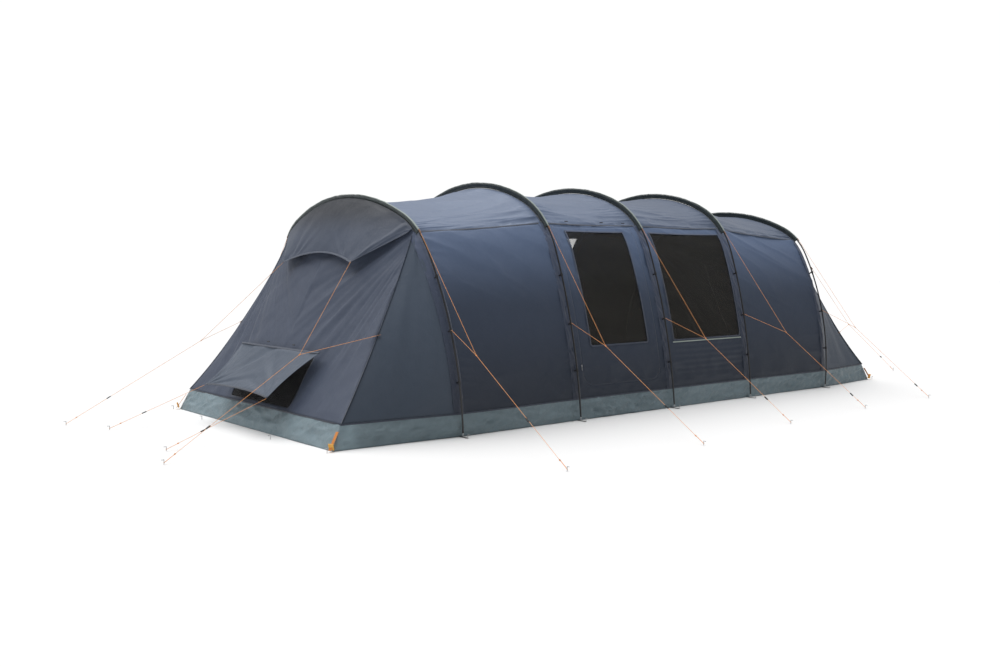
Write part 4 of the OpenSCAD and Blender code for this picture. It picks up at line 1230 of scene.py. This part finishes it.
def base_corners(z):
    """Corner points of the mud wall's outside at height z, from the front near corner round."""
    near = [np.array((end_x(FRONT, z), -corner_y(z), z))]
    near += [skin(j, NEAR, ARCHES[j].angle_at(z), FLY_GAP) for j in range(5)]
    near.append(np.array((end_x(REAR, z), -corner_y(z), z)))
    far = [p * (1, -1, 1) for p in reversed(near)]
    return np.array(near + far)


def make_mudwall():
    heights = np.linspace(0, MUD_H, 15)
    ground = base_corners(0)
    gaps = np.linalg.norm(np.roll(ground, -1, 0) - ground, axis=1)
    steps = [max(1, int(gap / 0.02)) for gap in gaps]
    rings = []
    for z in heights:
        corners = base_corners(z)
        row = [corners[0]]
        for p, q, count in zip(corners, np.roll(corners, -1, 0), steps):
            row += [mix(p, q, (i + 1) / count) for i in range(count)]
        rings.append(row)
    points = np.array(rings)
    run = np.concatenate(([0], np.cumsum(np.linalg.norm(np.diff(points[0], axis=0), axis=1))))
    run, z = np.broadcast_arrays(run, heights[:, None])
    near_corner = np.min([np.abs(run - r) for r in corner_runs(points[0])], axis=0)
    fade = smooth(near_corner, 0, 0.03) * hollow(z / MUD_H * 0.9 + 0.05)
    height = fade * (0.012 * creases(run * 3 + z * 9, z * 7, 500)
                     + 0.009 * creases(run * 8 - z * 14, z * 12, 501)
                     + 0.004 * noise(run * 3 + z * 30, z * 34 - run * 2, 502))
    x = points[..., 0]
    under_door = (smooth(x, DOOR_X0 - 0.1, DOOR_X0 + 0.1) * smooth(DOOR_X1 + 0.1 - x, 0, 0.2)
                  * (points[..., 1] < 0))
    height = height + under_door * fade * 0.016 * creases(run * 10 + z * 12, z * 17, 503)
    piece = grid_mesh("mud_wall_band", pushed(points, height, middle), outward=middle)
    mesh = bmesh.new()
    mesh.from_mesh(piece.data)
    bmesh.ops.remove_doubles(mesh, verts=mesh.verts, dist=1e-6)
    mesh.to_mesh(piece.data)
    mesh.free()
    dress(piece, MUD_CLOTH_PAINTED_LIGHT, "tent", "mudwall_fabric", "mudwall")
    place_sheet(piece, (19.7, 0.20))


def corner_runs(row):
    """Distances round the base at which its corners lie."""
    run = np.concatenate(([0], np.cumsum(np.linalg.norm(np.diff(row, axis=0), axis=1))))
    corners = base_corners(0)
    return [run[np.argmin(np.linalg.norm(row - c, axis=1))] for c in corners] + [run[-1]]


def make_groundsheet():
    low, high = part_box("groundsheet")
    xs, ys = np.linspace(low.x, high.x, 230), np.linspace(-1, 1, 90)
    x, share = np.meshgrid(xs, ys)
    ring = base_corners(0)[:7]
    half = np.interp(x, ring[:, 0], -ring[:, 1]) - 0.006
    y = share * half
    z = high.z - 0.001 + 0.0009 * noise(x * 9, y * 9, 520) + 0.0009 * noise(x * 22, y * 3, 521)
    piece = grid_mesh("groundsheet_cloth", np.stack((x, y, z), -1), thickness=0.0008,
                      outward=lambda p: np.asarray(p) - np.array((0, 0, 1.0)))
    dress(piece, FLOOR_CLOTH, "tent", "groundsheet_fabric", "groundsheet")
    place_sheet(piece, (7.10, 2.94))


make_mudwall()
make_groundsheet()


# ---- Sleeves ----

def sleeve_mesh(j):
    """Cloth sleeve over pole j: a ruffled tube with a flange down to the fly."""
    arch = ARCHES[j]
    half = np.linspace(arch.sleeve_end, math.pi / 2, 150)
    t = np.concatenate((half, math.pi - half[-2::-1]))
    side = np.where(t <= math.pi / 2, NEAR, FAR)
    angle = np.where(t <= math.pi / 2, t, math.pi - t)
    y, z = arch.point(angle, 0.0)
    out_y, out_z = np.cos(angle) * side, np.sin(angle)
    run = np.concatenate(([0], np.cumsum(np.hypot(np.diff(y * side), np.diff(z)))))
    ruffle = 1 + 0.10 * noise(run * 17, 0.0 * run, 600 + j) + 0.07 * noise(run * 41, 0.0 * run, 610 + j)
    # section from the fly's near face, over the pole, to its far face: (along the tent, out from the pole)
    tube_r = SLEEVE_R + 0.0028
    turn = np.radians(np.linspace(-62, 242, 19))
    section = [(0.0030, -FLY_GAP + 0.0015), (0.0036, -0.026)]
    section += [(tube_r * math.cos(a), tube_r * math.sin(a)) for a in turn]
    section += [(-0.0036, -0.026), (-0.0030, -FLY_GAP + 0.0015)]
    section = np.array(section)
    wide = section[None, :, 0] * ruffle[:, None]
    tall = np.where(section[None, :, 1] > 0, section[None, :, 1] * ruffle[:, None], section[None, :, 1])
    wide = wide + (0.0022 * noise(run * 30, 0 * run, 620 + j))[:, None] * smooth(-section[:, 1], 0.008, 0.03)
    y3 = (side * y)[:, None] + out_y[:, None] * tall
    z3 = z[:, None] + out_z[:, None] * tall
    points = leaned(j, y3, z3)
    points[..., 0] += wide * math.cos(LEAN[j])
    points[..., 2] -= wide * math.sin(LEAN[j])
    return points, run


def make_sleeves():
    for j in range(5):
        points, run = sleeve_mesh(j)
        piece = grid_mesh(f"sleeve_{j + 1}", points, thickness=0.0012,
                          outward=lambda p, j=j: arch_line(j, p))
        dress(piece, SLEEVE_CLOTH, "tent", "sleeve_fabric", "pole_sleeves")
        piping = points[::2, 11]
        trim = strap_mesh(f"sleeve_trim_{j + 1}", piping + outward_at(j, piping) * 0.0030,
                          0.016, (math.cos(LEAN[j]), 0, -math.sin(LEAN[j])), 0.0022)
        dress(trim, TRIM_CLOTH, "tent", "sleeve_fabric")
        place_sheet(trim, (0.016, float(run[-1])))
        place_sheet(piece, (0.13, float(run[-1])))


def arch_line(j, points):
    """The pole's centre line beside each point."""
    points = np.asarray(points)
    local_z = points[..., 2] / math.cos(LEAN[j])
    arch = ARCHES[j]
    t = np.linspace(arch.angle_at(0.05, 0), math.pi / 2, 300)
    y, z = arch.point(t, 0.0)
    side = np.where(points[..., 1] < 0, NEAR, FAR)
    gap = (np.abs(points[..., 1])[..., None] - y) ** 2 + (local_z[..., None] - z) ** 2
    best = gap.argmin(-1)
    return leaned(j, side * y[best], z[best])


def outward_at(j, points):
    way = points - leaned(j, np.zeros(len(points)), np.full(len(points), 0.9))
    way[:, 0] = 0
    return way / np.linalg.norm(way, axis=1, keepdims=True)


make_sleeves()


# ---- Seams, tapes, hems and tabs ----

# Painted shade darkens the seam tape towards the bottom.
SEAM_TAPE_PAINTED_SHADE = tent_cloth("seam_tape", (0.048, 0.062, 0.092), (0.085, 0.104, 0.150), 0.48, 0.2, 0.5,
                       (("Z", 0.15, 1.15, 0.6, 1.0),), 0.0, 0.007)
BORDER_HALF = 0.045
BORDER_LIFT = 0.0035


def border_column(j, side, dx, c):
    """Column of the fly at distance dx along the tent from arch j, at profile coordinates c."""
    if dx < 0 and j > 0:
        return wall_surface(j - 1, side, np.full(c.shape, 1 + dx / BAY[j - 1]), c)
    if dx > 0 and j < 4:
        return wall_surface(j, side, np.full(c.shape, dx / BAY[j]), c)
    if dx == 0:
        return skin(j, side, wall_angle(j, c), FLY_GAP)
    end = FRONT if j == 0 else REAR
    seam, post = (gusset_surface(j, end, side, np.full(c.shape, w), c) for w in (0.0, 1.0))
    reach = np.maximum(np.abs(post[..., 0] - seam[..., 0]), 1e-3)
    return mix(post, seam, np.clip(abs(dx) / reach, 0, 1)[..., None])


def make_borders():
    """Doubled cloth along each pole, on both sides of its seam, gathered by the stitching."""
    c = np.linspace(0.0, WALL_STEPS, 150)
    for j in range(5):
        for side, letter in SIDES:
            columns = [border_column(j, side, dx, c) for dx in np.linspace(-BORDER_HALF, BORDER_HALF, 11)]
            points = np.stack(columns, 1)
            z, across = points[..., 2], np.linspace(-1, 1, 11)[None, :]
            ruffle = (0.0050 * creases(z * 13 + across, across * 1.3 + 5, 700 + 2 * j + side)
                      * (1 - across ** 4))
            height = BORDER_LIFT + ruffle + 0.0016 * noise(z * 40, across * 2 + 9, 720 + j)
            piece = grid_mesh(f"pole_border_{letter}{j + 1}", pushed(points, height, middle), outward=middle)
            # The border cloth is lighter than the wall's, a painted reflection along the pole.
            dress(piece, BORDER_CLOTH_PAINTED_LIGHT, "tent", "wall_fabric")
            place_sheet(piece, (2 * BORDER_HALF, WALL_RUN))


def tape(name, path, width, across, material, body, slot, thickness=0.0014):
    """A narrow tape laid along a path."""
    piece = strap_mesh(name, path, width, across, thickness)
    dress(piece, material, body, slot)
    place_sheet(piece, (width, length_of(path)))
    return piece


def make_seams():
    u = np.linspace(0.03, 0.97, 60)
    for k in range(4):
        for side, letter in SIDES:
            c = np.full(u.shape, float(WALL_STEPS))
            path = wall_surface(k, side, u, c)
            below = wall_surface(k, side, u, c - 0.1)
            across = path - below
            out = np.cross(across, np.gradient(path, axis=0)) * -side
            out /= np.linalg.norm(out, axis=1, keepdims=True)
            out *= np.sign((out * (path - middle(path))).sum(1, keepdims=True))
            tape(f"roof_seam_{letter}{k + 1}", path + out * 0.0032, 0.016, across, SEAM_TAPE_PAINTED_SHADE,
                 "tent", "wall_fabric")
    u = np.linspace(0.0, 0.985, 80)
    for end, j, word in ((FRONT, 0, "front"), (REAR, 4, "rear")):
        for side, letter in SIDES:
            path = end_surface(j, end, np.full(u.shape, float(side)), u)
            inner = end_surface(j, end, np.full(u.shape, side * 0.98), u)
            lift = np.array((end * 0.0030, side * 0.0030, 0.0010))
            tape(f"{word}_seam_{letter}", path + lift, 0.018, inner - path - np.array((end * 0.010, 0, 0)),
                 SEAM_TAPE_PAINTED_SHADE, "tent", "wall_fabric")
    corners = base_corners(MUD_H)
    ring = []
    for p, q in zip(corners, np.roll(corners, -1, 0)):
        ring += [mix(p, q, i / 24) for i in range(24)]
    ring = np.array(ring + [ring[0]])
    out = ring * (1, 1, 0)
    out[:, 0] = np.where(np.abs(ring[:, 1]) > 1.30,
                         np.sign(ring[:, 0]) * 0.2 * (np.abs(ring[:, 0]) > 3.4), ring[:, 0])
    out[:, 1] = np.where(np.abs(ring[:, 0]) > 3.455, ring[:, 1] * 0.3, ring[:, 1])
    out /= np.linalg.norm(out, axis=1, keepdims=True)
    tape("mud_wall_seam", ring + out * 0.0035, 0.012, (0, 0, 1), SEAM_TAPE_PAINTED_SHADE, "tent", "wall_fabric")


def on_wall(k, side, x, z, lift):
    """Points of the wall of bay k at x and z, lifted off the cloth."""
    x, z = np.asarray(x, float), np.asarray(z, float)
    u, c = (x - STATION[k]) / BAY[k], np.clip(profile_at(z), 0, WALL_STEPS)
    here = wall_surface(k, side, u, c)
    ahead = wall_surface(k, side, u + 0.01, c)
    above = wall_surface(k, side, u, np.clip(c + 0.05, 0, WALL_STEPS + 0.05))
    out = np.cross(ahead - here, above - here)
    out /= np.linalg.norm(out, axis=-1, keepdims=True)
    out *= np.sign(((here - middle(here)) * out).sum(-1, keepdims=True))
    return here + out * lift, out


def hem_round(name, k, side, outline, width, material, body, closed=True, lift=0.0045):
    """A hem tape laid on the wall of bay k along an outline."""
    corners = np.concatenate((outline, outline[:1])) if closed else np.asarray(outline)
    dense = []
    for p, q in zip(corners, corners[1:]):
        count = max(1, int(np.hypot(*(q - p)) / 0.012))
        dense += [mix(p, q, i / count) for i in range(count)]
    dense = np.array(dense + [corners[-1]])
    path, out = on_wall(k, side, dense[:, 0], dense[:, 1], lift)
    across = np.cross(out, np.gradient(path, axis=0))
    return tape(name, path, width, across, material, body, "wall_fabric", 0.0016)


def make_window_hems():
    # The hems use the border cloth, lighter than the wall's as a painted reflection.
    hem_round("door_window_hem", 1, NEAR, DOOR_WINDOW, 0.014, BORDER_CLOTH_PAINTED_LIGHT, "side_door")
    for k, side, word in ((2, NEAR, "near_3"), (1, FAR, "far_2"), (2, FAR, "far_3")):
        hem_round(f"window_hem_{word}", k, side, bay_window(k), 0.014, BORDER_CLOTH_PAINTED_LIGHT, "tent")
    x0, x1 = STATION[2] + 0.10, STATION[3] - 0.05
    sill = np.array([(x0, WINDOW_SILL - 0.018), (x1, WINDOW_SILL - 0.018)])
    hem_round("window_piping", 2, NEAR, sill, 0.010, TRIM_CLOTH, "tent", False, 0.0065)


def guy_tab(start, towards, width=0.013, reach=0.045):
    """A folded tab of webbing between the fabric and the end of a guy line."""
    way = np.asarray(towards, float) - start
    way /= np.linalg.norm(way)
    back = start - way * reach
    side = np.cross(way, (0, 0, 1.0))
    path = [mix(back, start + way * 0.006, share) for share in np.linspace(0, 1, 8)]
    return strap_mesh("guy_tab", path, width, side, 0.003)


def make_guy_tabs():
    tabs = []
    for _, upper, lower, join, *_ in guy_routes():
        tabs += [guy_tab(upper, join, reach=0.034), guy_tab(lower, join, reach=0.030)]
    dress(joined("guy_tabs", tabs), BROWN_WEB, "tent", "orange_webbing")
    flaps = []
    for end, j, height in ((FRONT, 0, FRONT_TAB_H), (REAR, 4, REAR_TAB_H)):
        for side, _ in SIDES:
            tip = seam_tab(j, end, side, height)
            rows = []
            for share in np.linspace(-1, 1, 9):
                edge = end_surface(j, end, float(side), seam_share(j, height + share * 0.075))
                edge = edge + np.array((end, side, 0)) * 0.004
                rows.append([mix(edge, tip, t * (1 - abs(share)) + 0.02) for t in np.linspace(0, 0.96, 5)])
            flaps.append(grid_mesh("tab_patch", np.array(rows), thickness=0.0018))
    dress(joined("guy_patches", flaps), BLACK_WEB, "tent", "black_webbing")


def make_hems():
    v = np.linspace(-HOOD_EDGE_V, HOOD_EDGE_V, 130)
    low, top = hood_low_edge(v), hood_top_edge(v)
    path = low + np.array((-0.0030, 0, 0))
    piece = strap_mesh("hood_hem", path, 0.016, top - low, 0.0016)
    dress(piece, SEAM_TAPE_PAINTED_SHADE, "tent", "wall_fabric")
    place_sheet(piece, (0.016, length_of(path)))
    v = np.linspace(-1, 1, 60)
    for name, u in (("flap_hem_top", 0.02), ("flap_hem_low", 0.985)):
        path, ahead = flap_point(v, np.full(v.shape, u)), flap_point(v, np.full(v.shape, u - 0.01))
        lift = np.array((-0.62, 0, 0.78)) * 0.0030
        piece = strap_mesh(name, path + lift, 0.018, path - ahead, 0.0016)
        dress(piece, SEAM_TAPE_PAINTED_SHADE, "vent_flap", "roof_fabric")
        place_sheet(piece, (0.018, length_of(path)))


def make_buckle():
    """Ladder buckle: a rounded plate with a recessed panel in each face, modelled in place at the origin."""
    bpy.ops.object.select_all(action="DESELECT")
    bpy.ops.mesh.primitive_cube_add(size=1)
    piece = bpy.context.object
    bpy.ops.object.mode_set(mode="EDIT")
    bpy.ops.mesh.select_all(action="SELECT")
    bpy.ops.transform.resize(value=(0.008, 0.042, 0.050))
    bpy.ops.mesh.bevel(offset=0.003, segments=3, affect="EDGES")
    bpy.ops.object.mode_set(mode="OBJECT")
    mesh = bmesh.new()
    mesh.from_mesh(piece.data)
    for face in mesh.faces:
        face.select = abs(face.normal.x) > 0.99 and face.calc_area() > 4e-4
    mesh.select_flush(True)
    mesh.to_mesh(piece.data)
    mesh.free()
    bpy.ops.object.mode_set(mode="EDIT")
    bpy.ops.mesh.select_mode(type="FACE")
    bpy.ops.mesh.inset(thickness=0.006, use_individual=True)
    bpy.ops.mesh.extrude_region_shrink_fatten(TRANSFORM_OT_shrink_fatten={"value": -0.0025})
    bpy.ops.mesh.bevel(offset=0.0006, segments=2, affect="EDGES")
    bpy.ops.object.mode_set(mode="OBJECT")
    piece.data.shade_smooth()
    bpy.ops.object.select_all(action="DESELECT")
    return piece


def make_corner_buckles():
    master = make_buckle()
    for end in (FRONT, REAR):
        for side, letter in SIDES:
            copy = master.copy()
            copy.data = master.data.copy()
            scene.collection.objects.link(copy)
            word = "front" if end == FRONT else "rear"
            place = np.array((end_x(end, 0) + end * 0.016, side * (corner_y(0) + 0.006), 0.036))
            turn = (Matrix.Rotation(math.radians(30) * side * end, 4, "Z")
                    @ Matrix.Rotation(math.radians(18) * end, 4, "Y"))
            copy.data.transform(Matrix.Translation(Vector(place)) @ turn)
            copy.name = copy.data.name = f"corner_buckle_{word}_{letter}"
            dress(copy, YELLOW_PLASTIC, "tent", None)
    bpy.data.objects.remove(master)


def make_end_bindings():
    """Binding that closes the joint between each end arch's roof and the sloping end."""
    v = np.linspace(-1, 1, 160)
    for end, j, word in ((FRONT, 0, "front"), (REAR, 4, "rear")):
        t = mix(math.pi / 2, ARCHES[j].seam, np.abs(v))
        y, z = ARCHES[j].point(t, FLY_GAP - 0.0016)
        roof_edge = leaned(j, np.sign(v) * y, z) - np.array((end * 0.012, 0, 0))
        front_edge = end_top(j, end, v, FLY_GAP - 0.0016) + np.array((end * 0.0022, 0, 0))
        lower = end_top(j, end, v, FLY_GAP + 0.012) + np.array((end * 0.0040, 0, 0))
        grid = np.stack((roof_edge, mix(roof_edge, front_edge, 0.5), front_edge,
                         mix(front_edge, lower, 0.5), lower), 1)
        piece = grid_mesh(f"{word}_arch_binding", grid, outward=middle)
        dress(piece, SEAM_TAPE_PAINTED_SHADE, "tent", "wall_fabric")
        place_sheet(piece, (0.030, length_of(front_edge)))


make_borders()
make_seams()
make_end_bindings()
make_window_hems()
make_guy_tabs()
make_hems()
make_corner_buckles()


# ---- CAD nodes that keep their shape ----

def finish_cad():
    kept = {POLE_TUBE: [f"pole_{j + 1}" for j in range(5)],
            PLATED_STEEL: ["ring_pins", "zip_slider"], PEG_STEEL: ["pegs"],
            BLACK_PLASTIC: ["pole_clips", "toggles"] + [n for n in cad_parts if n.startswith("slider_")],
            BLACK_WEB: ["foot_straps"], ORANGE_WEB: ["corner_straps"], TRIM_CLOTH: ["side_door_zip"]}
    for material, names in kept.items():
        for name in names:
            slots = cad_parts[name].material_slots
            for place in slots:
                place.material = material


finish_cad()
